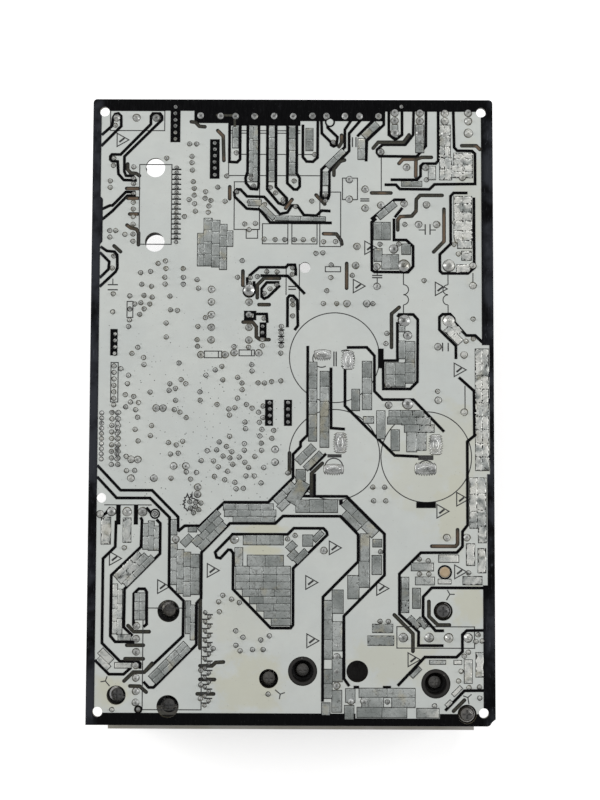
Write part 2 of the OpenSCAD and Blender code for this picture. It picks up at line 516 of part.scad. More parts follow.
right_runs = [
    [104, 130, 104, 121.6, 2.6, 1], [108.4, 141, 108.4, 122, 3.2, 3], [107, 118, 111, 118, 2.2, 1],
    [113.8, 121.6, 113.8, 110.6, 2.8, 1], [117, 120.6, 130.6, 120.6, 1.9, 3],
    [116.4, 117.6, 133.2, 117.6, 2, 3], [123, 114.8, 134.6, 114.8, 1.7, 2],
    [119.4, 114.2, 119.4, 106, 2.8, 1], [125.6, 112.8, 125.6, 105.6, 3, 1],
    [129.8, 112.8, 129.8, 106.2, 2.8, 1],
    [152, 146, 152, 98.4, 2.1, 9], [154.7, 146, 154.7, 98.4, 2, 9],
    [149.6, 95.6, 149.6, 76, 2, 3], [153.2, 95.6, 153.2, 70.4, 2.6, 4], [148.6, 70, 148.6, 61.6, 2.8, 1],
    [153, 68.2, 153, 58.8, 2.6, 1], [145.6, 55.8, 153, 55.8, 2.8, 1],
    [125.6, 61, 134.2, 61, 2.6, 1], [136.2, 64.2, 144, 64.2, 2.4, 1], [127.2, 55.6, 134.6, 55.6, 2.6, 1],
    [136, 55.4, 141, 55.4, 1.4, 1], [123.2, 57, 123.2, 43.4, 2.4, 3], [127.6, 52.8, 127.6, 45, 2.6, 1],
    [124.6, 41.4, 128.4, 37.6, 1.3, 1], [128.4, 41.2, 131.6, 38, 1.2, 1],
    [147.5, 25.4, 147.5, 16.4, 2.6, 1], [152, 28.2, 152, 18.8, 2.6, 1], [132.6, 24.4, 138.8, 24.4, 1.1, 1],
    [142, 24.4, 145, 24.4, 1.1, 1], [125.6, 18.8, 129, 22.2, 1.2, 1], [141.6, 11.8, 144.8, 15, 1.1, 1],
    [139, 7.6, 141, 9.6, 1.1, 1], [110.6, 37.3, 118.4, 37.3, 2.8, 1], [108.8, 32.6, 118.8, 32.6, 3.2, 1]
];
// Loose patch of solder on the ground plane, and the large field between the guard lines
patch_runs = [
    [42.9, 178.4, 42.9, 191.4, 2, 3], [45.7, 178.4, 45.7, 197.4, 2.6, 4], [48.9, 178, 48.9, 196.6, 2.5, 4],
    [51.8, 177, 51.8, 195, 2.3, 4], [54.4, 186.2, 54.4, 192.4, 1.9, 1],
    [60.4, 71.2, 76, 71.2, 3.4, 3], [58.7, 68.2, 58.7, 61.4, 2.6, 1], [62, 63.4, 76, 63.4, 3.4, 2],
    [77.8, 67.4, 80.4, 70, 2.4, 1], [78.4, 64.2, 81, 66.8, 2.2, 1], [80.6, 62.6, 85, 67, 2, 1],
    [85.2, 68.8, 85.2, 73.2, 3, 1], [88, 71.4, 91, 74.4, 1.8, 1]
];
course_pitch = 2.8;
field_courses = [
    for (i = [0 : 7])
        let (y = 59.2 - course_pitch * i, x = max(57.6, 111 - y))
        [x, y, 78.8, y, course_pitch - brick_gap, max(1, floor((78.8 - x) / 5.2))]
];
runs = concat(relay_runs, mains_runs, bus_runs, west_runs, motor_runs, right_runs, patch_runs, field_courses);

// One brick: a bar of solder with sloping flanks, from x = 0 to x = l
module brick(l, w) {
    slope = min(0.35, w / 4);
    rotate([90, 0, 90]) linear_extrude(l) polygon([
        [-w / 2, 0], [w / 2, 0], [w / 2, brick_h / 2], [w / 2 - slope, brick_h],
        [-w / 2 + slope, brick_h], [-w / 2, brick_h / 2]]);
}

module brick_run(from, to, w, n) {
    v = to - from;
    pitch = norm(v) / n;
    translate([from[0], from[1], top]) rotate(atan2(v[1], v[0]))
        for (i = [0 : n - 1]) translate([i * pitch + brick_gap / 2, 0, 0]) brick(pitch - brick_gap, w);
}

// Long rounded pools of solder behind the motor connector
pools = [[7, 74.6, 3.2, 10], [15.2, 74.8, 2.6, 9]];
module pool(p) {
    c = spot([p[0], p[1]]);
    reach = (p[3] - p[2]) / 2;
    translate([c[0], c[1], top]) linear_extrude(brick_h) offset(delta = 0) {
        for (s = [-1, 1]) translate([0, s * reach]) circle(d = p[2], $fn = small_n);
        square([p[2], 2 * reach], center = true);
    }
}

// Joints that stand in a run of bricks: x, y, radius
crossing_joints = [
    [119.3, 231.7, 1.7], [129.2, 231.7, 1.7], [139.1, 231.7, 1.7], [129.5, 228.4, 1.2],
    [144.4, 189.4, 1.7], [146, 221.4, 1.3], [146, 214, 1.3], [143, 196, 1], [62, 204, 1], [68, 203, 1],
    [116.8, 131.6, 1.3], [96.8, 26.3, 1.3], [96.8, 20.8, 1.3], [96.9, 30.6, 1], [102.2, 9.4, 1.3],
    [107.3, 9.4, 1.3]
];

module solder_tracks() {
    color([0.72, 0.73, 0.74]) difference() {
        union() {
            for (r = runs) brick_run(spot([r[0], r[1]]), spot([r[2], r[3]]), r[4], r[5]);
            for (p = pools) pool(p);
        }
        for (p = crossing_joints) place(p, top - over)
            cylinder(h = brick_h + 2 * over, r = p[2], $fn = small_n);
    }
}

// ---------------------------------------------------------------- places of the parts

// Leads on the layout grid. Two-legged parts: x and y of the first leg, then of the second
radial_pairs = [
    [7, 212.2, 7, 209.6], [8.2, 218.4, 8.3, 221.2], [38.2, 227.1, 41, 227.1], [39.2, 222.1, 39.2, 219.6],
    [39.4, 216.6, 39.8, 212], [40.2, 209.3, 40.2, 206.6], [44.7, 208, 44.5, 205.4],
    [38.2, 204.8, 40.4, 203.2], [40.7, 200.2, 45.8, 199.8], [49.5, 209.8, 52.4, 204.2],
    [7, 192.4, 9.4, 192.4], [29.1, 180.4, 26.2, 179.4], [29.3, 177.4, 28.9, 173.9],
    [23.3, 176.2, 19.4, 175.7], [36.1, 177.4, 36.2, 173.9], [19.9, 171.1, 23.7, 170.3],
    [41.6, 173, 42.2, 169.6], [20.8, 166.7, 24, 166], [23.1, 163.3, 19.6, 163.8],
    [20.9, 161.4, 19.2, 159.2], [15.2, 166.5, 17.2, 163.3], [15.2, 157, 14.9, 154.4],
    [31, 166.4, 31.3, 161], [29.6, 155.8, 29.7, 150.3], [42.1, 154.5, 41.8, 149.3],
    [8.7, 167.3, 8.6, 160.2], [88.3, 183.6, 91, 183.8], [94.3, 179, 94.2, 174], [69, 176.3, 73, 176.2],
    [79.2, 177.8, 79, 175.2], [62.5, 173.9, 62.3, 171.5], [70.3, 169.5, 73, 171],
    [79.3, 163.2, 79.2, 158.8], [91.3, 163.7, 96.5, 163.7], [147.2, 149, 150, 150],
    [116.2, 152, 115.8, 148], [18.6, 146.2, 16.3, 143.8], [20.9, 142.2, 21.1, 139.4],
    [14.7, 131.9, 13.9, 127.6], [17.2, 126.9, 19.1, 124.5], [18, 121.7, 18.8, 118.8],
    [17.9, 114, 19.1, 109.5], [24.3, 115.5, 23.9, 111.6], 
    [45.4, 135.3, 49, 137.4], [51.6, 138.8, 52, 133.5], [31.3, 131.9, 33.5, 130.1],
    [35.7, 133.6, 37.5, 132], [43.1, 128.8, 43.2, 125.5], [33.1, 121.8, 35.3, 120.8],
    [50.8, 109.2, 49.8, 106.1], [48.6, 101.8, 43.8, 101.9], [36.5, 109.4, 34, 108],
    [31.8, 104.4, 34.8, 104.8], [63.3, 139.5, 63.4, 137],
    [57.8, 134.5, 59.5, 132.3], [59.6, 129.7, 57.8, 126.4], [65.8, 132.4, 68.3, 132.3],
    [71.1, 132.9, 74.7, 133.2], [61.3, 123.9, 63.5, 122.5], [54.4, 122.1, 56.8, 122.6],
    [67.4, 114.2, 66.6, 111.6], [60.8, 117, 61, 114.4], [72, 113.8, 71.3, 110.7],
    [54.8, 111.4, 53.6, 107.5], [60.6, 108.6, 60.6, 106], [67.2, 108.8, 67.3, 106],
    [55, 103, 58.6, 103.3], [56.1, 100.5, 54.1, 97.8], [53, 94.5, 57, 93.5], [57.5, 91, 60.3, 91.2],
    [61.3, 96, 64.5, 96], [52.6, 49.8, 51, 47.3], [56, 48.3, 59, 47], [110.7, 91.8, 115.3, 91.8],
    [111, 86.5, 115.7, 86.5], [57.7, 36.2, 60.5, 33.7], [67.4, 32.7, 70.7, 34.3],
    [57.8, 30.6, 59.4, 28.5], [64.2, 29, 68.3, 29], [132.4, 58.3, 128.8, 58.3],
    [132.2, 63.4, 128.7, 64]
];
axial_pairs = [
    [43.3, 143.4, 52.8, 143.4], [56.3, 144.2, 66, 144.2], [16.5, 95, 25.4, 95],
    [104.4, 186.4, 103.9, 178.8], [100.5, 163.7, 108.3, 163.7]
];
disc_pairs = [
    [128.7, 195.2, 135.8, 195.2], [112.3, 178.4, 112.3, 170.6], [150, 171, 150, 178.8],
    [107.6, 209.2, 107.6, 201.6], [101.4, 213, 101.4, 205.2], [116.8, 131.6, 116.8, 123.8],
    [139.4, 72.4, 147.2, 72.4]
];
// Upright electrolytic cans: legs, then diameter
can_pairs = [
    [26, 122.4, 28.7, 122.4, 8], [16.5, 102.3, 19.1, 102.3, 5], [33.1, 99.8, 37.8, 99.8, 8],
    [72.6, 106.4, 72.6, 101.4, 8], [42.5, 91.6, 42.5, 88.8, 8]
];
// Leads that end in a joint of their own: jumpers, test points, legs of the flat parts
single_leads = [
    [53, 214.3], [36.4, 198.1], [29.2, 221.4], [46.8, 204.5], [46, 202.3], [7.1, 189.8], [13, 190.9],
    [29.1, 171.2], [36.2, 171.2], [34, 160.8], [45, 158], [15.3, 161.3], [59.3, 180.6], [57.5, 174],
    [65.3, 174.3], [68, 167.7], [79.2, 165], [68, 157.8], [110.7, 163.7], [102.6, 174.9],
    [92.6, 168.8], [150, 157.8], [130.8, 172.9], [12, 137.8], [15.1, 135.2], [16, 124.7],
    [14.1, 122.8], [23.6, 128.6], [14.5, 103.5], [34.8, 140.1], [31, 129.3], [33.6, 125.4],
    [37.8, 118.7], [49.8, 123.9], [46.1, 105.8], [50.5, 99.5], [52.3, 103.7], [31, 108.9],
    [42, 146.7], [56.3, 146.6], [62, 146.4], [74.6, 144.1], [54.7, 119.7], [67.8, 123.3],
    [66.1, 120.9], [67.8, 118.8], [66.4, 117], [55.7, 105.4], [60.8, 101.3], [64.7, 103.6],
    [62.3, 99.3], [68.2, 99.3], [136, 129.3], [32.1, 95], [39.7, 94.7], [49, 95.8], [67.2, 93.3],
    [77.6, 97.2], [39.5, 85.9], [41.8, 85.6], [43.8, 85.4], [39.8, 83.4], [41.7, 84], [43, 82.8],
    [41, 81.6], [14.2, 68], [80.5, 73], [77.6, 71.6], [113.5, 40], [116.7, 40], [51.3, 43.5],
    [49, 29.3], [44.3, 21], [44.3, 15.4], [44.2, 10.2], [70.3, 12], [10.1, 5.9], [134.5, 7.8],
    [116.3, 9.2], [144.8, 21], [143.8, 17.3], [151.8, 15], [147.8, 14.8], [147.6, 28.3],
    [146, 26.8], [151.9, 10.8], [147.8, 58.8], [96.9, 30.6], [20.3, 6], [62, 204], [68, 203],
    [38, 97.5], [42, 97.3], [14.7, 97.9], [17.9, 98],
    [57, 208], [92, 206.6], [95, 228], [75.4, 205], [79.6, 212.4], [72.3, 207.6], [87.7, 223],
    [143, 196], [142.6, 187.3], [144.3, 183.5], [113.5, 187.3], [120.9, 187.4], [123.3, 195.2],
    [131.8, 213], [8.7, 234.5], [8.7, 182.3], [8.2, 177.5], [150.5, 32.4], [153, 32.6],
    [151.4, 35], [122, 242.2], [56.7, 223.6], [62.6, 213.4], [70.2, 209.8], [113.7, 66.8]
];
// Heavier joints: x, y, radius
heavy_leads = [
    [34.2, 71.3, 1.3], [26, 81.2, 1.1], [56.9, 71.4, 1.6], [91.7, 67.2, 1.3], [62.1, 168.5, 1.5],
    [124.3, 151.3, 1.6], [124.3, 124.3, 2], [4.6, 81, 1.4], [129.5, 228.4, 1.2]
];

// Headers of signal pins: x of the pin row, y of the lowest pin, number of pins, rows
headers = [
    [32.5, 229.2, 6, 1], [48.2, 214.8, 6, 1], [9.4, 123.6, 7, 1], [70.4, 117, 4, 1],
    [77.6, 117, 4, 1], [9.6, 143.8, 4, 1], [8.8, 100.3, 9, 2]
];
// Connectors of the switched loads at the top edge: x of the first pin, pitch, pins
load_rows = [[42.5, 8, 2], [56.2, 7.65, 5], [92.4, 7.3, 2], [105.3, 7.5, 2]];
load_y = 238.4;
// Fan and motor connectors: x and y of the first pin, pitch, pins
fan_plug = [9.2, 237.6, 7.9, 3];
motor_plug = [9.1, 82, 6.05, 3];
plug_wall = 0.9;

// How far a case stands off the board, how deep a pin or a shoulder is seated, and pin diameters
stand = 0.4;
seat = 0.3;
pin_d = 1;
small_pin_d = 0.8;
// Bevels of the relays and of the film capacitors at their far ends
relay_bevel = 0.8;
film_bevel = 1.4;
// Safety capacitors, the lift of a disc over the board, and how far the fuse stays inside its legs
disc_d = 9.6;
disc_t = 3.4;
disc_lift = 1;
tube_inset = 1;

// Terminal block: x of the poles, y of their pins
pole_x = [119.3, 129.2, 139.1, 148.4];
pole_y = [239.8, 236.5, 231.7];
block_y = 234.8;
block_end = 2.95;
block_w = (pole_x[3] - pole_x[0]) * board_w / grid_columns + 2 * block_end;
block_x = 133.8;

// Compressor drive module, its power legs and its fine legs
module_at = [32.6, 25.45];
module_legs_x = 19.2;
module_legs_y = [38, 33, 28, 22.8, 18, 12.9, 8.6];
fine_leg_pitch = 1.78;
fine_legs = [for (i = [0 : 20]) [45.8 + 1.6 * (i % 2), 7.6 + fine_leg_pitch * i]];
// Fan drive module
fan_at = [24.9, 202.8];
fan_size = [12.7, 31.6];
fan_legs_right = [for (i = [0 : 15]) [33.2, 187.9 + 1.98 * i]];
fan_legs_left = [for (y = [217.8, 213.3, 211.2, 207.3, 203.7, 201, 198, 194.9, 191, 188.2]) [16.2, y]];

// Bridge rectifier, transistor and diode on the heat sink: centre, size, place of the legs
bridge_at = [135, 20];
bridge_size = [30, 20];
bridge_legs = [[122.5, 33.8], [132.5, 33.8], [140, 33.8], [147.5, 33.8]];
transistor_at = [85.1, 20.8];
transistor_size = [17, 15.6];
transistor_legs = [[96.8, 15.3], [96.8, 20.8], [96.8, 26.3]];
diode_at = [104.7, 20.6];
diode_size = [10.2, 15.2];
diode_legs = [[102.2, 9.4], [107.3, 9.4]];

// Bulk capacitors: centres, which keep clear of each other, then the places of their legs
bulk_lower = [95.7, 104.4];
bulk_upper = bulk_lower + [0, max(38, (bulk_d + gap) * grid_rows / board_h)];
bulk_right = [bulk_lower[0] + max(35.8, (bulk_d + gap) * grid_columns / board_w), 103.6];
bulk_upper_legs = [[91, 143.8], [101, 141.4]];
bulk_lower_legs = [[98, 109], [95.4, 99]];
bulk_right_legs = [[135.2, 108.4], [131.2, 99]];

// Choke, filter capacitor, bus film capacitors, relays, surge absorber and fuse
choke_at = [131.7, 168];
choke_legs = [[122.9, 178.8], [140.5, 178.8], [122.9, 157.2], [140.5, 157.2]];
filter_at = [131.7, 187.4];
filter_legs = [[118.9, 185.4], [144.4, 189.4]];
filter_end = 0.25;
filter_w = (filter_legs[1][0] - filter_legs[0][0]) * board_w / grid_columns + 2 * filter_end;
filter_size = [filter_w, 9.4, 19];
film_at = [[146.4, 132.4], [136.2, 136.3]];
film_size = [7.8, 26, 16];
film_legs = [[146.4, 121.2], [146.4, 143.6], [136.2, 125.8], [136.2, 146.8]];
relay_at = [127.5, 210.6];
relay_size = [17, 24.6];
relay_legs = [[124, 218], [131.5, 218], [123, 203.5], [131.8, 203]];
small_relays_at = [[61, 202], [72.2, 197.6], [83.7, 197.6], [94, 197.6]];
small_relay_size = [8.8, 20.4];
small_relay_legs = [
    [60.2, 195.2], [64.4, 195.4], [61.9, 192.9], [63.6, 210.3], [67.9, 189.2], [72.2, 189], [76, 189],
    [75.3, 203.8], [79.8, 189], [83.3, 189], [87.3, 189], [80.2, 202.2], [86.6, 204.4], [91.3, 188.2],
    [96, 188.3], [91.9, 204.6]
];
surge_legs = [[146, 221.4], [146, 214]];
surge_d = 12;
surge_t = 4.4;
fuse_d = 5.2;
// Height of the tube over the floor of its clips, length of a clip, how far it sits inside its leg
fuse_raise = 2;
clip_l = 5;
fuse_inset = 1.6;
fuse_room = (block_l / 2 + clip_l / 2 - fuse_inset + gap) * grid_rows / board_h;
fuse_legs = [[113.8, min(224.4, block_y - fuse_room)], [113.8, 202.8]];

// Transformer and the controller beside it
transformer_at = [54.7, 159.2];
transformer_size = [18.2, 21.8];
transformer_legs = [for (x = [47.3, 62.1], i = [0 : 4]) [x, 149.2 + 5 * i]];
controller_at = [71.1, 150.75];
controller_legs = [for (x = [67.4, 74.8], i = [0 : 3]) [x, 147 + pin_pitch * i]];
processor_at = [43, 112.6];
chips_at = [[25, 105.4, 4, 5], [27, 135.4, 4, 6], [57.4, 114.6, 3, 4]];
chip_h = 1.5;

function first_leg(p) = [p[0], p[1]];
function second_leg(p) = [p[2], p[3]];
function pair_legs(list) = concat([for (p = list) first_leg(p)], [for (p = list) second_leg(p)]);
function header_pins(h) = [for (i = [0 : h[2] - 1], r = [0 : h[3] - 1])
    [h[0] + pin_pitch * r, h[1] + pin_pitch * i]];
function row_pins(x, y, pitch, n) = [for (i = [0 : n - 1]) [x + pitch * i, y]];

signal_pins = [for (h = headers, p = header_pins(h)) p];
load_pins = [for (r = load_rows, p = row_pins(r[0], load_y, r[1], r[2])) p];
fan_plug_pins = row_pins(fan_plug[0], fan_plug[1], fan_plug[2], fan_plug[3]);
motor_plug_pins = row_pins(motor_plug[0], motor_plug[1], motor_plug[2], motor_plug[3]);
pole_pins = [for (x = pole_x, y = pole_y) [x, y]];
module_legs = [for (y = module_legs_y) [module_legs_x, y]];

// ---------------------------------------------------------------- solder joints

// One joint: a fillet of solder that climbs the lead, and the lead's cut end
module joint(p, r) {
    k = r / joint_r;
    h = joint_h * (0.6 + 0.4 * k);
    place(p, top) rotate_extrude($fn = small_n) polygon([
        [0, 0], [r, 0], [0.86 * r, 0.22 * h], [0.5 * r, 0.72 * h], [0.38 * r, h],
        [0.34 * r, h + lead_out], [0, h + lead_out]]);
}

small_joints = concat(pair_legs(radial_pairs), single_leads, signal_pins, fan_legs_left,
    controller_legs, small_relay_legs);
fine_joint_r = 0.78;
medium_joint_r = 1.3;
medium_joints = concat(pair_legs(axial_pairs), pair_legs(disc_pairs), pair_legs(can_pairs), module_legs,
    transformer_legs, transistor_legs, diode_legs, film_legs, relay_legs, surge_legs, fuse_legs);
large_joint_r = 1.7;
large_joints = concat(load_pins, fan_plug_pins, motor_plug_pins, pole_pins, bridge_legs, filter_legs);
bulk_joint_r = 2.3;
bulk_joints = concat(bulk_upper_legs, bulk_lower_legs, bulk_right_legs, choke_legs);

module solder_joints() {
    color([0.75, 0.76, 0.77]) {
        for (p = small_joints) joint(p, joint_r);
        for (p = concat(fine_legs, fan_legs_right)) joint(p, fine_joint_r);
        for (p = medium_joints) joint(p, medium_joint_r);
        for (p = large_joints) joint(p, large_joint_r);
        for (p = bulk_joints) joint(p, bulk_joint_r);
        for (p = heavy_leads) joint(p, p[2]);
    }
}

// ---------------------------------------------------------------- heat sink and what is screwed to it

sink_x = 79;
sink_x0 = sink_x * board_w / grid_columns - board_w / 2 - sink_w / 2;
sink_y0 = -board_h / 2 - sink_out;
device_top = sink_z + device_t;
bridge_top = sink_z + bridge_t;
module_top = sink_z + module_t;
holder_z = -4 - holder_t;
// Screws: place, height of the face under the head
sunk_screws = [fixing_holes[0], fixing_holes[1]];
raised_screws = [fixing_holes[2], fixing_holes[3]];
raised_z = -1;

function fin_x(i) = fin_t / 2 + i * (sink_w - fin_t) / (fin_count - 1);

module heatsink() {
    base_low = sink_z - sink_base_t;
    color([0.72, 0.71, 0.68])
    difference() {
        translate([sink_x0, sink_y0 + sink_l, 0]) rotate([90, 0, 0])
            linear_extrude(sink_l) offset(delta = 0) {
                translate([0, base_low]) square([sink_w, sink_base_t]);
                for (i = [0 : fin_count - 1])
                    translate([fin_x(i) - fin_t / 2, bottom_z]) square([fin_t, base_low - bottom_z + 0.5]);
            }
        for (p = concat(module_holes, collar_holes, fixing_holes))
            screw_hole(spot(p));
    }
}

module screw_hole(c) {
    translate([c[0], c[1], sink_z - screw_depth])
        cylinder(h = screw_depth + over, d = screw_d, $fn = round_n);
}

// Cross-head machine screw whose head stands on height z and whose shank reaches the heat sink
module screw(p, z) {
    reach = z - sink_z + screw_depth - gap;
    slot = [screw_head_d * 0.55, 0.8];
    place(p, z) difference() {
        union() {
            rotate_extrude($fn = round_n) polygon([
                [0, 0], [screw_head_d / 2, 0], [screw_head_d / 2, screw_head_h * 0.45],
                [screw_head_d * 0.38, screw_head_h * 0.9], [screw_head_d * 0.2, screw_head_h],
                [0, screw_head_h]]);
            translate([0, 0, -reach]) cylinder(h = reach, d = screw_d - 0.2, $fn = small_n);
        }
        for (a = [0, 90]) rotate(a)
            translate([-slot[0] / 2, -slot[1] / 2, screw_head_h * 0.4])
                cube([slot[0], slot[1], screw_head_h]);
    }
}

module heatsink_screws() {
    color([0.2, 0.2, 0.21]) {
        for (p = module_holes) screw(p, module_top);
        screw(collar_holes[0], device_top);
        screw(collar_holes[1], bridge_top);
        for (p = sunk_screws) screw(p, holder_z + holder_t);
        for (p = raised_screws) screw(p, raised_z);
    }
}

// Thickness of a leg, and its root: the spot inside a body's outline that lies nearest to its foot
leg_t = 0.5;
function within(v, middle, half) = max(middle - half, min(middle + half, v));
function root_of(foot, at, size) =
    [for (i = [0, 1]) within(spot(foot)[i], spot(at)[i], size[i] / 2 - over)];

// Bent leg: out of the side of a body at height z, then up to its foot on the board
module leg(foot, at, size, z, w) {
    a = root_of(foot, at, size);
    b = spot(foot);
    v = b - a;
    translate([a[0], a[1], z]) rotate(atan2(v[1], v[0])) translate([0, -w / 2, -leg_t / 2])
        cube([norm(v) + leg_t / 2, w, leg_t]);
    translate([b[0], b[1], z - leg_t / 2]) rotate(atan2(v[1], v[0])) translate([-leg_t / 2, -w / 2, 0])
        cube([leg_t, w, -z + leg_t / 2]);
}

// Widths of the legs, and the step round the compressor module's face
power_leg_w = 1;
fine_leg_w = 0.6;
fan_leg_w = 0.8;
device_leg_w = 1.2;
module_step = [2.4, 3];

module compressor_drive_module() {
    size = [module_w, module_l];
    z = sink_z + module_t * 0.55;
    color([0.1, 0.1, 0.11]) difference() {
        union() {
            place(module_at, sink_z) {
                linear_extrude(module_t * 0.8) square(size, center = true);
                linear_extrude(module_t) square(size - module_step, center = true);
            }
            for (p = module_legs) leg(p, module_at, size, z, power_leg_w);
            for (p = fine_legs) leg(p, module_at, size, z, fine_leg_w);
        }
        for (p = module_holes) place(p, sink_z - over)
            cylinder(h = module_t + 2 * over, d = screw_d + 2 * gap, $fn = round_n);
    }
}

module fan_drive_module() {
    low = -fan_module_h;
    color([0.12, 0.12, 0.13]) difference() {
        union() {
            place(fan_at, low) linear_extrude(fan_module_h - stand) square(fan_size, center = true);
            for (p = fan_legs_right) leg(p, fan_at, fan_size, low / 2, fine_leg_w);
            for (p = fan_legs_left) leg(p, fan_at, fan_size, low / 2, fan_leg_w);
        }
        for (p = fan_holes) place(p, low - over)
            cylinder(h = fan_module_h + 2 * over, d = fan_access_d + 2 * gap, $fn = round_n);
    }
}

// Flat moulded power device on the heat sink with a hole for its screw
module flat_device(at, size, t, hole) {
    c = spot(at);
    difference() {
        translate([c[0] - size[0] / 2, c[1] - size[1] / 2, sink_z]) cube([size[0], size[1], t]);
        place(hole, sink_z - over)
            cylinder(h = t + 2 * over, d = screw_d + 2 * gap, $fn = round_n);
    }
}

module bridge_rectifier() {
    color([0.13, 0.13, 0.13]) {
        flat_device(bridge_at, bridge_size, bridge_t, collar_holes[1]);
        for (p = bridge_legs) leg(p, bridge_at, bridge_size, sink_z + bridge_t / 2, device_leg_w);
    }
}

module boost_transistor() {
    color([0.12, 0.12, 0.12]) {
        flat_device(transistor_at, transistor_size, device_t, collar_holes[0]);
        for (p = transistor_legs)
            leg(p, transistor_at, transistor_size, sink_z + device_t / 2, device_leg_w);
    }
}

module boost_diode() {
    color([0.12, 0.12, 0.12]) {
        flat_device(diode_at, diode_size, device_t, diode_hole);
        for (p = diode_legs) leg(p, diode_at, diode_size, sink_z + device_t / 2, device_leg_w);
    }
}

// Plate that presses the power devices on the heat sink, its posts and collars
plate_fields = [
    [60, 0.5, 151.6, 27], [7.4, 0.5, 61, 3], [7.4, 0.5, 16.4, 11.4], [134, 26, 138.5, 44]
];
post_d = 8.4;
// Windows in the plate for the legs of the power devices
leg_window = 2.4;

module device_holder() {
    posts = concat(sunk_screws, raised_screws);
    color([0.07, 0.07, 0.07]) difference() {
        union() {
            translate([0, 0, holder_z]) linear_extrude(holder_t) offset(delta = 0) difference() {
                union() {
                    for (f = plate_fields) field(f[0], f[1], f[2], f[3]);
                    for (p = posts) translate(spot(p)) circle(d = post_d + 1, $fn = small_n);
                }
                for (p = concat(transistor_legs, diode_legs))
                    translate(spot(p)) square([leg_window, leg_window], center = true);
            }
            for (p = sunk_screws) post(p, holder_z + holder_t);
            for (p = raised_screws) post(p, raised_z);
            for (p = collar_holes) place(p, holder_z)
                cylinder(h = board_t - 0.3 - holder_z, d = collar_d, $fn = round_n);
        }
        for (p = collar_holes) place(p, holder_z - over)
            cylinder(h = board_t - holder_z + 2 * over, d = collar_d - 2 * collar_wall, $fn = round_n);
        for (p = posts) place(p, sink_z - over)
            cylinder(h = sink_gap + 2 * over, d = screw_d + gap, $fn = round_n);
    }
}

module post(p, z) {
    place(p, sink_z) cylinder(h = z - sink_z, d = post_d, $fn = round_n);
}

// Nylon peg that keeps the board off the heat sink and snaps into its hole
module support_peg() {
    r = peg_d / 2 - 0.1;
    color([0.72, 0.6, 0.45]) place(peg_hole, sink_z) rotate_extrude($fn = round_n) polygon([
        [0, 0], [r + 1.4, 0], [r + 1.4, sink_gap], [r, sink_gap], [r, sink_gap + board_t],
        [r - 0.6, sink_gap + board_t + 0.3], [0, sink_gap + board_t + 0.3]]);
}

// ---------------------------------------------------------------- tall parts

// Snap-in electrolytic capacitor: can with a rolled groove and a vented end
module bulk_capacitor(at, legs) {
    r = bulk_d / 2;
    color([0.13, 0.13, 0.15]) {
        difference() {
            place(at, -depth) rotate_extrude($fn = 72) polygon([
                [0, 0.5], [r - 2.5, 0.5], [r - 2.2, 0], [r - 1.2, 0], [r, 1.2], [r, depth - 5],
                [r - 1, depth - 4.4], [r - 1, depth - 3.8], [r, depth - 3.2], [r, depth - 1],
                [r - 1, depth - 0.4], [0, depth - 0.4]]);
            for (a = [0, 90]) place(at, -depth) rotate(a)
                translate([-r * 0.6, -0.4, 0]) cube([r * 1.2, 0.8, 0.9]);
        }
        for (p = legs) place(p, -1) cylinder(h = 1, d = 1.6, $fn = small_n);
    }
}

// Walls between the poles of the terminal block, and the depth of a pole's pocket
block_wall = 1.4;
pole_depth = 7;
pole_pitch = (block_w - block_wall) / len(pole_x);
clamp_t = 1;
clamp_room = 2.2;
clamp_screw_d = 3.4;

module terminal_block() {
    c = spot([block_x, block_y]);
    color([0.1, 0.1, 0.1]) translate([c[0] - block_w / 2, c[1] - block_l / 2, -block_h]) difference() {
        cube([block_w, block_l, block_h]);
        for (i = [0 : len(pole_x) - 1])
            translate([block_wall + i * pole_pitch, block_wall, -over])
                cube([pole_pitch - block_wall, block_l - 2 * block_wall, pole_depth + over]);
    }
}

module pole_parts(z) {
    c = spot([block_x, block_y]);
    for (i = [0 : len(pole_x) - 1])
        translate([c[0] - block_w / 2 + block_wall / 2 + (i + 0.5) * pole_pitch, c[1], z]) children();
}

module terminal_clamps() {
    plate = [pole_pitch - block_wall - 2 * gap, block_l - 2 * block_wall - clamp_room, clamp_t];
    color([0.76, 0.76, 0.74])
        pole_parts(-block_h + pole_depth - clamp_t)
            difference() {
                translate([-plate[0] / 2, -plate[1] / 2, 0]) cube(plate);
                translate([0, 0, -over])
                    cylinder(h = clamp_t + 2 * over, d = clamp_screw_d + 0.2, $fn = small_n);
            }
}

module terminal_screws() {
    head = [6, 2.2];
    slot = [3.6, 0.8, 1.2];
    color([0.8, 0.8, 0.78]) pole_parts(-block_h + pole_depth - clamp_t) {
        difference() {
            translate([0, 0, -head[1]]) cylinder(h = head[1], d = head[0], $fn = round_n);
            for (a = [0, 90]) rotate(a) translate([-slot[0] / 2, -slot[1] / 2, -head[1] - over])
                cube([slot[0], slot[1], slot[2] + over]);
        }
        cylinder(h = clamp_t, d = clamp_screw_d, $fn = small_n);
    }
}

// Ring core on a plastic base, with one winding on each side
choke_base_t = 3;
choke_base_w = 25.6;
choke_hole_d = 11;
wire_d = 1.5;
turn_count = 7;
turn_step = 21;
divider_t = 1.6;

module choke_base() {
    color([0.12, 0.12, 0.12]) {
        hanging_box(choke_at, [choke_base_w, choke_base_w, choke_base_t], 0);
        c = spot(choke_at);
        translate([c[0] - divider_t / 2, c[1] - choke_d / 2, -choke_base_t - choke_h - 2 * wire_d])
            cube([divider_t, choke_d, choke_h + 2 * wire_d]);
    }
}

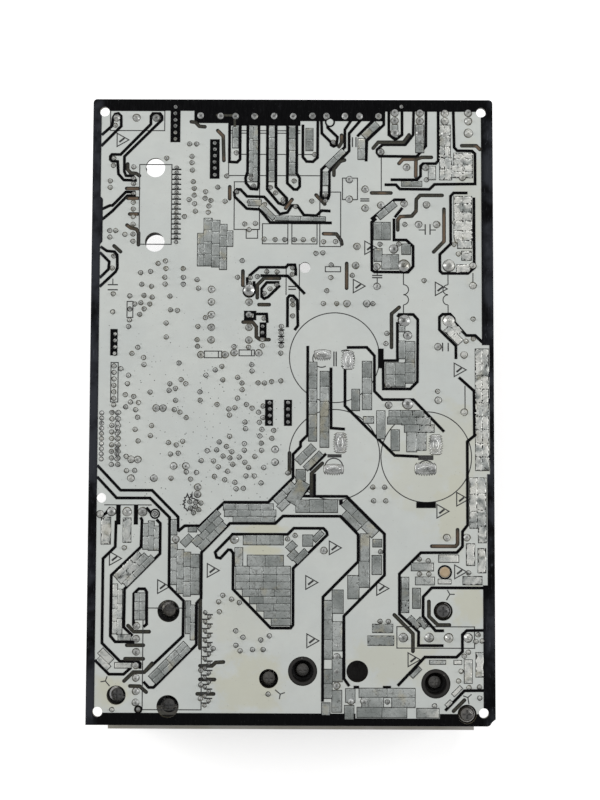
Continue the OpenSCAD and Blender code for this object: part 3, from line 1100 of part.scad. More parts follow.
module choke_core() {
    z = -choke_base_t - wire_d - choke_h;
    color([0.25, 0.45, 0.3]) place(choke_at, z) difference() {
        cylinder(h = choke_h, d = choke_d - 2 * wire_d, $fn = round_n);
        translate([0, 0, -over]) cylinder(h = choke_h + 2 * over, d = choke_hole_d + gap, $fn = round_n);
        translate([-divider_t / 2 - gap, -choke_d, -over])
            cube([divider_t + 2 * gap, 2 * choke_d, choke_h + 2 * over]);
    }
}

// One turn of wire round the core's section, as a closed frame
module turn(a) {
    r_in = choke_hole_d / 2 - wire_d;
    r_out = choke_d / 2;
    z = -choke_base_t - 2 * wire_d - choke_h;
    place(choke_at, z) rotate(a) translate([r_in, -wire_d / 2, 0]) difference() {
        cube([r_out - r_in, wire_d, choke_h + 2 * wire_d]);
        translate([wire_d, -over, wire_d]) cube([r_out - r_in - 2 * wire_d, wire_d + 2 * over, choke_h]);
    }
}

module choke_windings() {
    color([0.72, 0.4, 0.2]) for (side = [0, 180], i = [0 : turn_count - 1])
        turn(side + (i - (turn_count - 1) / 2) * turn_step);
}

// Section of a case of width w and height h with bevelled edges at its far end
module bevelled(w, h, bevel) {
    e = w / 2;
    polygon([[-e, bevel], [bevel - e, 0], [e - bevel, 0], [e, bevel], [e, h], [-e, h]]);
}

// Moulded or dipped case that stands just off the board on its pins
module moulded_case(at, size, bevel) {
    place(at, -stand - size[2]) intersection() {
        rotate([90, 0, 0]) linear_extrude(size[1], center = true) bevelled(size[0], size[2], bevel);
        rotate([90, 0, 90]) linear_extrude(size[0], center = true) bevelled(size[1], size[2], bevel);
    }
}

module pins(legs, d, h) {
    for (p = legs) place(p, -h) cylinder(h = h, d = d, $fn = small_n);
}

module cased_part(at, size, legs, bevel) {
    moulded_case(at, size, bevel);
    pins(legs, pin_d, stand + seat);
}

module main_relay() {
    color([0.12, 0.12, 0.13])
        cased_part(relay_at, [relay_size[0], relay_size[1], relay_h], relay_legs, relay_bevel);
}

module small_relays() {
    color([0.15, 0.3, 0.55]) {
        for (p = small_relays_at)
            moulded_case(p, [small_relay_size[0], small_relay_size[1], small_relay_h], relay_bevel);
        pins(small_relay_legs, small_pin_d, stand + seat);
    }
}

module filter_capacitor() {
    color([0.85, 0.72, 0.2]) cased_part(filter_at, filter_size, filter_legs, film_bevel);
}

module bus_film_capacitors() {
    color([0.75, 0.25, 0.15]) {
        for (p = film_at) moulded_case(p, film_size, film_bevel);
        pins(film_legs, pin_d, stand + seat);
    }
}

module surge_absorber() {
    c = spot([surge_legs[0][0], (surge_legs[0][1] + surge_legs[1][1]) / 2]);
    color([0.15, 0.35, 0.7]) {
        translate([c[0] - surge_t / 2, c[1], -surge_d / 2 - disc_lift]) rotate([0, 90, 0])
            cylinder(h = surge_t, d = surge_d, $fn = round_n);
        pins(surge_legs, pin_d, surge_d / 3);
    }
}

// Ceramic disc that stands on its two legs
module disc_part(p, d, t) {
    a = spot(first_leg(p));
    b = spot(second_leg(p));
    v = b - a;
    m = (a + b) / 2;
    translate([m[0], m[1], -d / 2 - disc_lift]) rotate([90, 0, atan2(v[1], v[0])]) translate([0, 0, -t / 2])
        cylinder(h = t, d = d, $fn = round_n);
    pins([first_leg(p), second_leg(p)], small_pin_d, d / 3);
}

module safety_capacitors() {
    color([0.2, 0.45, 0.65]) for (p = disc_pairs) disc_part(p, disc_d, disc_t);
}

module fuse_tube() {
    a = spot(fuse_legs[0]);
    b = spot(fuse_legs[1]);
    color([0.9, 0.88, 0.82])
        translate([a[0], b[1] + tube_inset, -fuse_d / 2 - fuse_raise]) rotate([-90, 0, 0])
            cylinder(h = a[1] - b[1] - 2 * tube_inset, d = fuse_d, $fn = round_n);
}

// Spring clip of the fuse: a U-shaped strip that holds the tube's end
module fuse_clips() {
    clip = [fuse_d + 1, clip_l, fuse_d + 2.4];
    color([0.78, 0.78, 0.75]) for (p = [[0, -1], [1, 1]])
        let (c = spot(fuse_legs[p[0]]))
        translate([c[0], c[1] - clip[1] / 2 + fuse_inset * p[1], 0]) difference() {
            translate([-clip[0] / 2, 0, -clip[2]]) cube(clip);
            translate([0, -over, -fuse_d / 2 - fuse_raise]) rotate([-90, 0, 0])
                cylinder(h = clip[1] + 2 * over, d = fuse_d, $fn = round_n);
            translate([gap - fuse_d / 2, -over, -clip[2] - over])
                cube([fuse_d - 2 * gap, clip[1] + 2 * over, fuse_d / 2 + over]);
        }
}

// Transformer: coil former with two pin rails and a wound centre, and the ferrite core round it
rail_h = 4;
rail_w = 3.5;
rail_web = 2;
core_leg = 4.95;
yoke_t = 2.8;
core_room = transformer_size[1] - 2 * core_leg;
channel_w = transformer_size[0] - 2 * rail_w;
web_z = -stand - rail_web;

module transformer_bobbin() {
    wound_top = -stand - rail_h + seat;
    wound = [channel_w + rail_w, core_room - gap, transformer_h - yoke_t - gap + wound_top];
    color([0.9, 0.75, 0.2]) {
        difference() {
            hanging_box(transformer_at, [transformer_size[0], transformer_size[1], rail_h], -stand);
            hanging_box(transformer_at, [channel_w, transformer_size[1] + 2 * over, rail_h], web_z);
        }
        hanging_box(transformer_at, wound, wound_top);
        pins(transformer_legs, small_pin_d, stand + seat);
    }
}

module transformer_core() {
    c = spot(transformer_at);
    w = channel_w - gap;
    color([0.22, 0.22, 0.23]) difference() {
        hanging_box(transformer_at, [w, transformer_size[1], transformer_h + web_z - gap], web_z - gap);
        translate([c[0] - w / 2 - over, c[1] - core_room / 2, yoke_t - transformer_h])
            cube([w + 2 * over, core_room, transformer_h]);
    }
}

// ---------------------------------------------------------------- small parts

controller_size = [6.3, 9.8, 3.4];
controller_leg = [1.3, 0.6, 2];
module supply_controller() {
    color([0.14, 0.14, 0.14]) {
        hanging_box(controller_at, controller_size, -stand);
        for (p = controller_legs)
            hanging_box([p[0] - sign(p[0] - controller_at[0]) * 0.45, p[1]], controller_leg, 0);
    }
}

processor_size = [10, 10, 1.4];
processor_leg = [1.1, 0.24, 0.6];
leg_pitch = 0.6;
leg_root = 0.1;

module microcontroller() {
    color([0.13, 0.13, 0.13]) {
        hanging_box(processor_at, processor_size, -leg_root);
        for (a = [0 : 90 : 270], i = [-7 : 7])
            place(processor_at, 0) rotate(a)
                translate([processor_size[0] / 2 - leg_root, (i - 0.2) * leg_pitch, -processor_leg[2]])
                    cube(processor_leg);
    }
}

module small_chips() {
    color([0.14, 0.14, 0.14]) for (p = chips_at) hanging_box([p[0], p[1]], [p[2], p[3], chip_h], 0);
}

// Floor of a socket, and how far its contacts stay inside its rim
socket_floor = 1.6;
tip_room = 1.5;
tab_size = [1.6, 0.8];
pin_size = [0.64, 0.64];
header_wall = 0.7;
header_side = 2.9;
header_end = 1.35;

// Box-shaped plug socket, open below, for a row of pins
module socket(x0, y0, x1, y1, h, wall) {
    a = spot([x0, y0]);
    b = spot([x1, y1]);
    difference() {
        translate([a[0], a[1], -h]) cube([b[0] - a[0], b[1] - a[1], h]);
        translate([a[0] + wall, a[1] + wall, -h - over])
            cube([b[0] - a[0] - 2 * wall, b[1] - a[1] - 2 * wall, h - socket_floor + over]);
    }
}

socket_h = 11;
// Room of a socket round its row of pins: left, below, right and above
load_room = [2.6, 4.4, 2.6, 5];
fan_room = [2.4, 4.4, 2.8, 3.2];
motor_room = [2.9, 4.2, 3.3, 2.8];

module row_socket(plug, room) {
    socket(plug[0] - room[0], plug[1] - room[1], plug[0] + plug[2] * (plug[3] - 1) + room[2],
        plug[1] + room[3], socket_h, plug_wall);
}

module load_connectors() {
    color([0.93, 0.92, 0.88]) {
        for (r = load_rows) row_socket([r[0], load_y, r[1], r[2]], load_room);
        row_socket(fan_plug, fan_room);
    }
}

module motor_connector() {
    color([0.93, 0.92, 0.88]) row_socket(motor_plug, motor_room);
}

// Contact that stands on the floor of a socket of height h
module contact(p, size, h) {
    place(p, -h + tip_room) translate([-size[0] / 2, -size[1] / 2, 0])
        cube([size[0], size[1], h - tip_room - socket_floor]);
}

module load_connector_tabs() {
    color([0.78, 0.77, 0.72])
        for (p = concat(load_pins, fan_plug_pins, motor_plug_pins)) contact(p, tab_size, socket_h);
}

header_h = 7;
module signal_connectors() {
    color([0.93, 0.92, 0.88]) for (h = headers)
        socket(h[0] - header_side, h[1] - header_end, h[0] + pin_pitch * (h[3] - 1) + header_side,
            h[1] + pin_pitch * (h[2] - 1) + header_end, header_h, header_wall);
}

module signal_connector_pins() {
    color([0.8, 0.78, 0.7])
        for (p = signal_pins) contact(p, pin_size, header_h);
}

// Small dipped part between its two legs
module radial_part(p) {
    a = spot(first_leg(p));
    b = spot(second_leg(p));
    v = b - a;
    l = norm(v) + 1.2;
    m = (a + b) / 2;
    e = small_t / 2;
    translate([m[0], m[1], -lead_h - small_h]) rotate([90, 0, atan2(v[1], v[0])])
        translate([0, 0, -e]) linear_extrude(small_t) polygon([
            [-l / 2, e], [-l / 2 + e, 0], [l / 2 - e, 0], [l / 2, e], [l / 2, small_h - e],
            [l / 2 - e, small_h], [-l / 2 + e, small_h], [-l / 2, small_h - e]]);
}

module radial_parts() {
    color([0.8, 0.5, 0.25]) for (p = radial_pairs) radial_part(p);
}

can_h = 11.4;
can_stand = 0.6;
module small_capacitors() {
    color([0.12, 0.16, 0.3]) for (p = can_pairs) {
        m = (spot(first_leg(p)) + spot(second_leg(p))) / 2;
        r = p[4] / 2;
        translate([m[0], m[1], -can_stand - can_h]) rotate_extrude($fn = 32) polygon([
            [0, 0], [r - 0.5, 0], [r, 0.5], [r, can_h - 1.8], [r - 0.4, can_h - 1.4],
            [r - 0.4, can_h - 1], [r, can_h - 0.6], [r, can_h], [0, can_h]]);
    }
}

axial_d = 2.6;
axial_z = -axial_d / 2 - gap;
// Length of the leads of an axial part between its body and the bend
axial_reach = 2;
module axial_parts() {
    color([0.16, 0.16, 0.17]) for (p = axial_pairs)
        let (a = spot(first_leg(p)), b = spot(second_leg(p)), v = b - a)
        translate([a[0], a[1], axial_z]) rotate([0, 90, atan2(v[1], v[0])]) translate([0, 0, axial_reach])
            cylinder(h = norm(v) - 2 * axial_reach, d = axial_d, $fn = small_n);
}

module component_leads() {
    color([0.75, 0.74, 0.7]) {
        pins(pair_legs(radial_pairs), lead_d, lead_h);
        pins(pair_legs(can_pairs), lead_d, can_stand);
        for (p = axial_pairs)
            let (a = spot(first_leg(p)), b = spot(second_leg(p)), v = b - a)
            for (end = [[a, 0], [b, 180]])
            translate([end[0][0], end[0][1], axial_z]) rotate(atan2(v[1], v[0]) + end[1]) {
                cylinder(h = -axial_z, d = lead_d, $fn = small_n);
                rotate([0, 90, 0]) translate([0, 0, -lead_d / 2])
                    cylinder(h = axial_reach + lead_d / 2, d = lead_d, $fn = small_n);
            }
    }
}

circuit_board();
guard_print();
solder_tracks();
solder_joints();
heatsink();
heatsink_screws();
compressor_drive_module();
fan_drive_module();
bridge_rectifier();
boost_transistor();
boost_diode();
device_holder();
support_peg();
bulk_capacitor(bulk_upper, bulk_upper_legs);  // bulk_capacitor_upper
bulk_capacitor(bulk_lower, bulk_lower_legs);  // bulk_capacitor_lower
bulk_capacitor(bulk_right, bulk_right_legs);  // bulk_capacitor_right
terminal_block();
terminal_clamps();
terminal_screws();
choke_base();
choke_core();
choke_windings();
main_relay();
small_relays();
filter_capacitor();
bus_film_capacitors();
surge_absorber();
safety_capacitors();
fuse_tube();
fuse_clips();
transformer_core();
transformer_bobbin();
supply_controller();
microcontroller();
small_chips();
load_connectors();
load_connector_tabs();
motor_connector();
signal_connectors();
signal_connector_pins();
radial_parts();
small_capacitors();
axial_parts();
component_leads();
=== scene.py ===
# %% [markdown]
# # A main control board, solder side up
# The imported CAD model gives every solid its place. This script dresses it in cells: each cell
# builds one kind of surface or material, says what it made, and can be read on its own.
# Lengths are metres in Blender. The layout grid of the board is in millimetres, measured from
# its lower left corner, and `grid` turns such a point into metres.

# %% Load the frame
import math
import bmesh
import bpy
import numpy as np
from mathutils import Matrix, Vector


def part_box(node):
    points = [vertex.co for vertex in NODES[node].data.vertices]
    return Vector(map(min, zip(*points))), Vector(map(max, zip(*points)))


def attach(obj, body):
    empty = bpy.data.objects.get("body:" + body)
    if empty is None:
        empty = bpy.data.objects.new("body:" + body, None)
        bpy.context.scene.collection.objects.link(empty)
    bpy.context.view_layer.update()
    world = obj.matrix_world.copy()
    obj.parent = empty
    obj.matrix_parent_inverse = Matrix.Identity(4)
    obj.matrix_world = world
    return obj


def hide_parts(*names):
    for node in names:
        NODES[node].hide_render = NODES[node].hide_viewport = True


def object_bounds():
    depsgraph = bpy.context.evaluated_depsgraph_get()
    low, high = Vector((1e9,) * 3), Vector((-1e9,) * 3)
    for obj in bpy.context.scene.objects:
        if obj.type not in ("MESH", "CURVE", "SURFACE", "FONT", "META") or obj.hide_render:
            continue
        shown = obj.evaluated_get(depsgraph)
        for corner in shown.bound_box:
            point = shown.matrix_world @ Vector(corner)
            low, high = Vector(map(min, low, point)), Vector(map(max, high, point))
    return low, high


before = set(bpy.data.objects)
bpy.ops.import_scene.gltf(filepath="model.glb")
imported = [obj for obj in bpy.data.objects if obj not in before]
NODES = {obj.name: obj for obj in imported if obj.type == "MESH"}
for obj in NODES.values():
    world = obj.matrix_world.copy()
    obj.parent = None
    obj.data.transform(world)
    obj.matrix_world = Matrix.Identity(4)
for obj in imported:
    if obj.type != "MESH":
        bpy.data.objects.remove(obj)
cad_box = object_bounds()
MM = 0.001
BOARD = np.array([158.0, 245.0])
HALF = BOARD / 2
TOP = 1.6 * MM
print("nodes", len(NODES))


def grid(points):
    """Board millimetres to metres in the frame: (p - size / 2) / 1000."""
    return (np.asarray(points, float)[..., :2] - HALF) * MM


# %% [markdown]
# ## Mesh helpers
# A piece is made from arrays of corners and faces. Loose shapes are stacked into one mesh by
# shifting the face indices of each by the number of corners before it.

# %% Mesh helpers
def linked(data):
    """Object of a mesh, a lamp or a camera, under its name, in the scene."""
    obj = bpy.data.objects.new(data.name, data)
    bpy.context.scene.collection.objects.link(obj)
    return obj


def placed(mesh, smooth):
    """Object of a mesh, riding on the CAD root."""
    mesh.polygons.foreach_set("use_smooth", np.full(len(mesh.polygons), smooth))
    mesh.update()
    obj = linked(mesh)
    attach(obj, "root")
    return obj


def new_object(name, shapes, smooth=True):
    """Object of loose shapes [(corners (n, 3), faces as lists of corner numbers), ...]."""
    verts, faces, start = [], [], 0
    for v, f in shapes:
        verts.append(v)
        faces.extend([int(i) + start for i in face] for face in f)
        start += len(v)
    mesh = bpy.data.meshes.new(name)
    mesh.from_pydata(np.vstack(verts).tolist(), [], faces)
    return placed(mesh, smooth)


def circle(n, shift=0.0):
    """n even steps of a full turn."""
    return (np.arange(n) + shift) * 2 * math.pi / n


def soft_wave(values, power):
    """A sine or cosine flattened to the power: sign(v) |v|^p."""
    return np.sign(values) * np.abs(values) ** power


def flat_loop(c, d, u, v, z):
    """Points c + u d + v side at the height z, where side stands across d."""
    return np.c_[c[0] - v * d[1] + u * d[0], c[1] + v * d[0] + u * d[1], np.full(len(u), 1.0) * z]


def rings(loops, cap_top=True, cap_bottom=False):
    """Skin over loops of equal length n: corner (k, i) is joined to (k, i + 1), (k + 1, i)."""
    n = len(loops[0])
    faces = []
    for k in range(len(loops) - 1):
        for i in range(n):
            j = (i + 1) % n
            faces.append([k * n + i, k * n + j, (k + 1) * n + j, (k + 1) * n + i])
    if cap_top:
        faces.append([(len(loops) - 1) * n + i for i in range(n)])
    if cap_bottom:
        faces.append(list(range(n))[::-1])
    return np.vstack(loops), faces


def column(items, key, kind, width=1):
    """One property of many mesh elements, as a flat array."""
    values = np.empty(len(items) * width, kind)
    items.foreach_get(key, values)
    return values


def islands(node):
    """Corners of each separate solid of a CAD node, in metres."""
    mesh = NODES[node].data
    co = column(mesh.vertices, "co", float, 3).reshape(-1, 3)
    keys, inverse = np.unique(np.round(co / (0.002 * MM)).astype(np.int64), axis=0, return_inverse=True)
    inverse = inverse.ravel()
    parent = np.arange(len(keys))
    loops = column(mesh.loops, "vertex_index", np.int64)
    starts = column(mesh.polygons, "loop_start", np.int64)
    sizes = column(mesh.polygons, "loop_total", np.int64)

    def root(i):
        while parent[i] != i:
            parent[i] = parent[parent[i]]
            i = parent[i]
        return i

    for s, n in zip(starts, sizes):
        a = root(inverse[loops[s]])
        for k in range(1, n):
            b = root(inverse[loops[s + k]])
            parent[b] = a
    groups = {}
    for v in range(len(co)):
        groups.setdefault(root(inverse[v]), []).append(v)
    return [co[g] for g in groups.values()]


def long_way(points):
    """Centre, unit direction, length and width of the smallest rectangle round flat points."""
    p = np.unique(np.round(points[:, :2], 8), axis=0)
    best = None
    for a in np.radians(np.arange(0, 180, 1.0)):
        u = np.array([math.cos(a), math.sin(a)])
        v = np.array([-u[1], u[0]])
        s, t = p @ u, p @ v
        area = (s.max() - s.min()) * (t.max() - t.min())
        if best is None or area < best[0]:
            c = u * (s.max() + s.min()) / 2 + v * (t.max() + t.min()) / 2
            best = (area, c, u, s.max() - s.min(), t.max() - t.min())
    _, c, u, l, w = best
    return (c, u, l, w) if l >= w else (c, np.array([-u[1], u[0]]), w, l)


print("helpers ready")

# %% [markdown]
# ## Node groups
# Two groups carry the wear. `patina` turns a place in millimetres into soft blotches, fine grain
# and sparse specks. `blot` is one stain: an ellipse whose edge noise has eaten into.

# %% Node groups
def new_group(name, inputs, outputs):
    """Shader group with (name, socket type, value) inputs and (name, socket type) outputs."""
    tree = bpy.data.node_groups.new(name, "ShaderNodeTree")
    for label, kind, value in inputs:
        socket = tree.interface.new_socket(label, in_out="INPUT", socket_type=kind)
        if value is not None:
            socket.default_value = value
    for label, kind in outputs:
        tree.interface.new_socket(label, in_out="OUTPUT", socket_type=kind)
    return tree, tree.nodes.new("NodeGroupInput"), tree.nodes.new("NodeGroupOutput")


def add_node(near, kind):
    """New node in the tree of a socket or a node; id_data is the tree that owns it."""
    return near.id_data.nodes.new("ShaderNode" + kind)


def wire(a, b):
    b.id_data.links.new(a, b)


def feed(value, socket):
    """Gives a socket a number or a colour, or wires another socket to it."""
    if isinstance(value, bpy.types.NodeSocket):
        wire(value, socket)
    else:
        socket.default_value = (*value, 1.0) if isinstance(value, tuple) else value


def calc(operation, *values):
    """Math node; numbers and sockets may be mixed."""
    node = add_node(next(v for v in values if isinstance(v, bpy.types.NodeSocket)), "Math")
    node.operation = operation
    for i, value in enumerate(values):
        feed(value, node.inputs[i])
    return node.outputs[0]


def times(a, b):
    return calc("MULTIPLY", a, b)


def vector(operation, a, b=None):
    """Outputs of a vector math node; b is a socket or three numbers."""
    node = add_node(a, "VectorMath")
    node.operation = operation
    wire(a, node.inputs[0])
    if isinstance(b, tuple):
        node.inputs[1].default_value = b
    elif b is not None:
        wire(b, node.inputs[1])
    return node.outputs


def split(value):
    """X, Y and Z of a vector."""
    return settle(add_node(value, "SeparateXYZ"), Vector=value)


def settle(node, **values):
    """Feeds the named sockets of a node; an underscore stands for a space."""
    for key, value in values.items():
        feed(value, node.inputs[key.replace("_", " ")])
    return node.outputs


def normal_z(near):
    """How far up a face looks: 1 for up, -1 for down, 0 for a side."""
    return split(add_node(near, "NewGeometry").outputs["Normal"])["Z"]


def stretched(place, share):
    """The place with its Y scaled, so that a texture on it is drawn out along Y."""
    node = add_node(place, "Mapping")
    node.inputs["Scale"].default_value = (1.0, share, 1.0)
    return settle(node, Vector=place)[0]


def noise(place, scale, detail=3.0, rough=0.55, distortion=0.0):
    return settle(add_node(place, "TexNoise"), Vector=place, Scale=scale, Detail=detail, Roughness=rough,
                  Distortion=distortion)["Fac"]


def ramp(value, low, high, to_low=0.0, to_high=1.0):
    """Smooth step of a value from low..high to to_low..to_high."""
    node = add_node(value, "MapRange")
    node.interpolation_type = "SMOOTHSTEP"
    return settle(node, Value=value, From_Min=low, From_Max=high, To_Min=to_low, To_Max=to_high)["Result"]


def grey(value):
    return (value, value, value)


def blend(factor, a, b):
    """Colour mix; colours may be tuples or sockets."""
    node = add_node(factor, "Mix")
    node.data_type = "RGBA"
    for i, value in ((0, factor), (6, a), (7, b)):
        feed(value, node.inputs[i])
    return node.outputs[2]


patina, gin, gout = new_group(
    "patina",
    [("Place", "NodeSocketVector", None), ("Blotch size", "NodeSocketFloat", 12.0),
     ("Grain size", "NodeSocketFloat", 0.5), ("Speck size", "NodeSocketFloat", 1.5)],
    [("Blotch", "NodeSocketFloat"), ("Grain", "NodeSocketFloat"), ("Speck", "NodeSocketFloat")])
place = gin.outputs["Place"]
blotches, grains, specks = (calc("DIVIDE", 1.0, gin.outputs[i]) for i in (1, 2, 3))
cell = settle(add_node(gin, "TexVoronoi"), Vector=place, Scale=specks)
rarity = settle(add_node(gin, "SeparateColor"), Color=cell["Color"])[0]
settle(gout, Blotch=ramp(noise(place, blotches, 4.0), 0.35, 0.65), Grain=noise(place, grains, 2.0),
       Speck=times(ramp(cell["Distance"], 0.06, 0.16, 1, 0), calc("GREATER_THAN", rarity, 0.72)))

blot, gin, gout = new_group(
    "blot",
    [("Place", "NodeSocketVector", None), ("Centre", "NodeSocketVector", (0, 0, 0)),
     ("Reach", "NodeSocketVector", (10, 10, 10)), ("Ragged", "NodeSocketFloat", 0.5)],
    [("Mask", "NodeSocketFloat")])
place, centre, reach, ragged, _ = gin.outputs
share = vector("DIVIDE", vector("SUBTRACT", place, centre)[0], reach)[0]
eaten = times(calc("SUBTRACT", noise(place, 0.16, 5.0, 0.6), 0.5), ragged)
size = calc("ADD", vector("LENGTH", share)["Value"], times(eaten, 3.0))
settle(gout, Mask=ramp(size, 0.45, 1.05, 1, 0))


def group_node(near, group):
    node = add_node(near, "Group")
    node.node_tree = group
    return node


def stain(place, x, y, reach_x, reach_y, ragged):
    """Mask of one blot; its centre is in board millimetres, and it goes right through the sheet."""
    node = group_node(place, blot)
    node.inputs["Centre"].default_value = (x - HALF[0], y - HALF[1], TOP / MM)
    node.inputs["Reach"].default_value = (reach_x, reach_y, 50)
    return settle(node, Place=place, Ragged=ragged)["Mask"]


print("groups", [g.name for g in bpy.data.node_groups])

# %% [markdown]
# ## Plain finishes
# Most parts share one recipe: a colour that drifts to a second one in blotches, grain in the
# gloss, dust specks, and a fine bump. The numbers that don't vary sit on the shader's sockets.

# %% Finish recipe
def new_material(name):
    """Material, its shader, and the place on the piece in millimetres."""
    mat = bpy.data.materials.new(name)
    mat.use_nodes = True
    tree = mat.node_tree
    place = vector("SCALE", tree.nodes.new("ShaderNodeTexCoord").outputs["Object"])[0]
    place.node.inputs["Scale"].default_value = 1000.0
    return mat, tree.nodes["Principled BSDF"], place


def patina_of(place, blotch=12, grain=0.5, speck=1.5):
    """Blotch, grain and speck of a surface; the sizes are in millimetres."""
    return settle(group_node(place, patina), Place=place, Blotch_size=blotch, Grain_size=grain,
                  Speck_size=speck)


def gloss(marks, fine, dull):
    """Roughness from `fine` to `dull`, following the grain."""
    return ramp(marks["Grain"], 0.3, 0.7, fine, dull)


def bump(shader, height, strength, depth_mm):
    node = add_node(shader, "Bump")
    normal = settle(node, Strength=strength, Distance=depth_mm * MM, Height=height)["Normal"]
    wire(normal, shader.inputs["Normal"])


def finish(name, colour, second, rough=(0.4, 0.6), metal=0, dust=0.0, blotch=12, grain=0.4, coat=0):
    """Material of the shared recipe."""
    mat, shader, place = new_material(name)
    marks = patina_of(place, blotch, grain, 2.2)
    tint = blend(marks["Blotch"], colour, second)
    if dust:
        tint = blend(times(marks["Speck"], dust), tint, (0.6, 0.58, 0.54))
    settle(shader, Base_Color=tint, Roughness=gloss(marks, *rough),
           Metallic=metal, Coat_Weight=coat)
    bump(shader, marks["Grain"], 0.35, 0.02)
    return mat


def dress(obj, mat):
    obj.data.materials.clear()
    obj.data.materials.append(mat)


def piece(name, shapes, mat, smooth=True):
    obj = new_object(name, shapes, smooth)
    dress(obj, mat)
    return obj


def dress_node(node, mat):
    obj = NODES[node]
    if not obj.material_slots:
        obj.data.materials.append(mat)
    for s in obj.material_slots:
        s.material = mat


BLACK, SOOT = (0.03, 0.03, 0.032), (0.035, 0.035, 0.037)
WORN, CHARCOAL = (0.045, 0.045, 0.047), grey(0.05)
PLAIN = {
    "compressor_drive_module": finish("module_epoxy", SOOT, grey(0.055), (0.45, 0.65), dust=0.3),
    "fan_drive_module": finish("fan_module_epoxy", BLACK, CHARCOAL, dust=0.3),
    "bridge_rectifier": finish("bridge_epoxy", grey(0.04), (0.06, 0.058, 0.055), (0.5, 0.7)),
    "boost_transistor": finish("transistor_epoxy", SOOT, (0.05, 0.05, 0.052), (0.45, 0.6)),
    "boost_diode": finish("diode_epoxy", grey(0.035), CHARCOAL, (0.45, 0.6)),
    # near black, darker than the other black plastics: partly the holder's own black, partly painted shade in
    # the holes that show it
    "device_holder": finish(
        "holder_nylon_with_painted_shade", (0.009, 0.008, 0.007), (0.016, 0.014, 0.012), (0.45, 0.7), dust=0.15, grain=0.7),
    "heatsink_screws": finish("screw_black", grey(0.2), (0.3, 0.29, 0.27), (0.2, 0.35), metal=0.9),
    "support_peg": finish("peg_nylon", (0.42, 0.31, 0.19), (0.5, 0.4, 0.27), (0.4, 0.55)),
    "terminal_block": finish("terminal_plastic", BLACK, CHARCOAL, dust=0.4),
    "terminal_clamps": finish("clamp_tin", (0.62, 0.6, 0.54), (0.5, 0.47, 0.4), (0.25, 0.45), metal=1),
    "terminal_screws": finish(
        "terminal_screw_nickel", (0.68, 0.67, 0.64), (0.5, 0.48, 0.44), (0.2, 0.4), metal=1),
    "choke_base": finish("choke_plastic", grey(0.03), (0.05, 0.048, 0.045), dust=0.3),
    "choke_core": finish("core_coating", (0.03, 0.13, 0.06), (0.05, 0.18, 0.09), (0.25, 0.45), coat=0.4),
    "choke_windings": finish(
        "winding_enamel", (0.52, 0.2, 0.055), (0.38, 0.13, 0.035), (0.16, 0.32), metal=0.75, coat=0.8),
    "main_relay": finish("relay_case", (0.03, 0.03, 0.033), (0.042, 0.042, 0.045), (0.3, 0.5), dust=0.3),
    "small_relays": finish(
        "small_relay_case", (0.03, 0.03, 0.034), (0.045, 0.045, 0.05), (0.3, 0.5), dust=0.3),
    "filter_capacitor": finish(
        "film_case_grey", (0.09, 0.095, 0.1), (0.12, 0.12, 0.125), (0.3, 0.5), coat=0.2),
    "bus_film_capacitors": finish(
        "film_dip_red", (0.32, 0.045, 0.02), (0.26, 0.035, 0.018), (0.14, 0.3), coat=0.7),
    "surge_absorber": finish(
        "varistor_dip", (0.035, 0.13, 0.32), (0.03, 0.11, 0.26), (0.2, 0.36), coat=0.5),
    "safety_capacitors": finish("disc_dip", (0.2, 0.1, 0.05), (0.15, 0.075, 0.035), (0.2, 0.36), coat=0.5),
    "fuse_tube": finish("fuse_ceramic_white", (0.74, 0.71, 0.64), (0.66, 0.62, 0.54), (0.2, 0.4), coat=0.3),
    "fuse_clips": finish("clip_tin", (0.6, 0.58, 0.52), (0.48, 0.45, 0.38), (0.22, 0.42), metal=1),
    "transformer_core": finish(
        "ferrite_ground", (0.035, 0.035, 0.038), (0.06, 0.06, 0.062), (0.5, 0.75), grain=0.25),
    "transformer_bobbin": finish(
        "winding_tape", (0.6, 0.36, 0.03), (0.52, 0.3, 0.025), (0.3, 0.5), coat=0.2),
    "supply_controller": finish("controller_epoxy", BLACK, WORN, (0.5, 0.7)),
    "microcontroller": finish("processor_epoxy", BLACK, WORN, (0.5, 0.7)),
    "small_chips": finish("chip_epoxy", BLACK, WORN, (0.5, 0.7)),
    "load_connectors": finish(
        "connector_nylon", (0.74, 0.71, 0.63), (0.68, 0.63, 0.52), (0.35, 0.55), blotch=20),
    "motor_connector": finish(
        "motor_connector_nylon", (0.72, 0.69, 0.61), (0.66, 0.6, 0.5), (0.35, 0.55), blotch=20),
    "signal_connectors": finish(
        "header_nylon", (0.76, 0.74, 0.67), (0.7, 0.66, 0.56), (0.35, 0.55), blotch=20),
    "load_connector_tabs": finish("tab_tin", (0.62, 0.6, 0.53), (0.5, 0.46, 0.38), (0.22, 0.4), metal=1),
    "signal_connector_pins": finish(
        "pin_tin", (0.64, 0.61, 0.52), (0.55, 0.5, 0.4), (0.2, 0.35), metal=1),
    "radial_parts": finish(
        "dip_ochre", (0.36, 0.16, 0.035), (0.28, 0.11, 0.025), (0.25, 0.45), coat=0.4, blotch=6),
    "axial_parts": finish("diode_body", BLACK, (0.06, 0.055, 0.05), (0.3, 0.5)),
    "component_leads": finish("lead_tin", (0.62, 0.6, 0.55), (0.5, 0.47, 0.4), (0.22, 0.4), metal=1),
}
for node, mat in PLAIN.items():
    dress_node(node, mat)
print("plain finishes", len(PLAIN))

# %% [markdown]
# ## The solder mask
# A pale cool grey that has yellowed where parts ran hot. The stains are listed ellipses with
# ragged edges. Small via dots lie round the controller's zone. Cut edges show the brown glass sheet.

# %% Solder mask
mat, shader, place = new_material("solder_mask")
marks = patina_of(place, 26.0, 0.35, 1.6)
fine = patina_of(place, 4.0, 1.1, 5.0)
tint = blend(marks["Blotch"], (0.575, 0.605, 0.585), (0.615, 0.64, 0.61))
tint = blend(times(fine["Blotch"], 0.25), tint, (0.54, 0.555, 0.53))
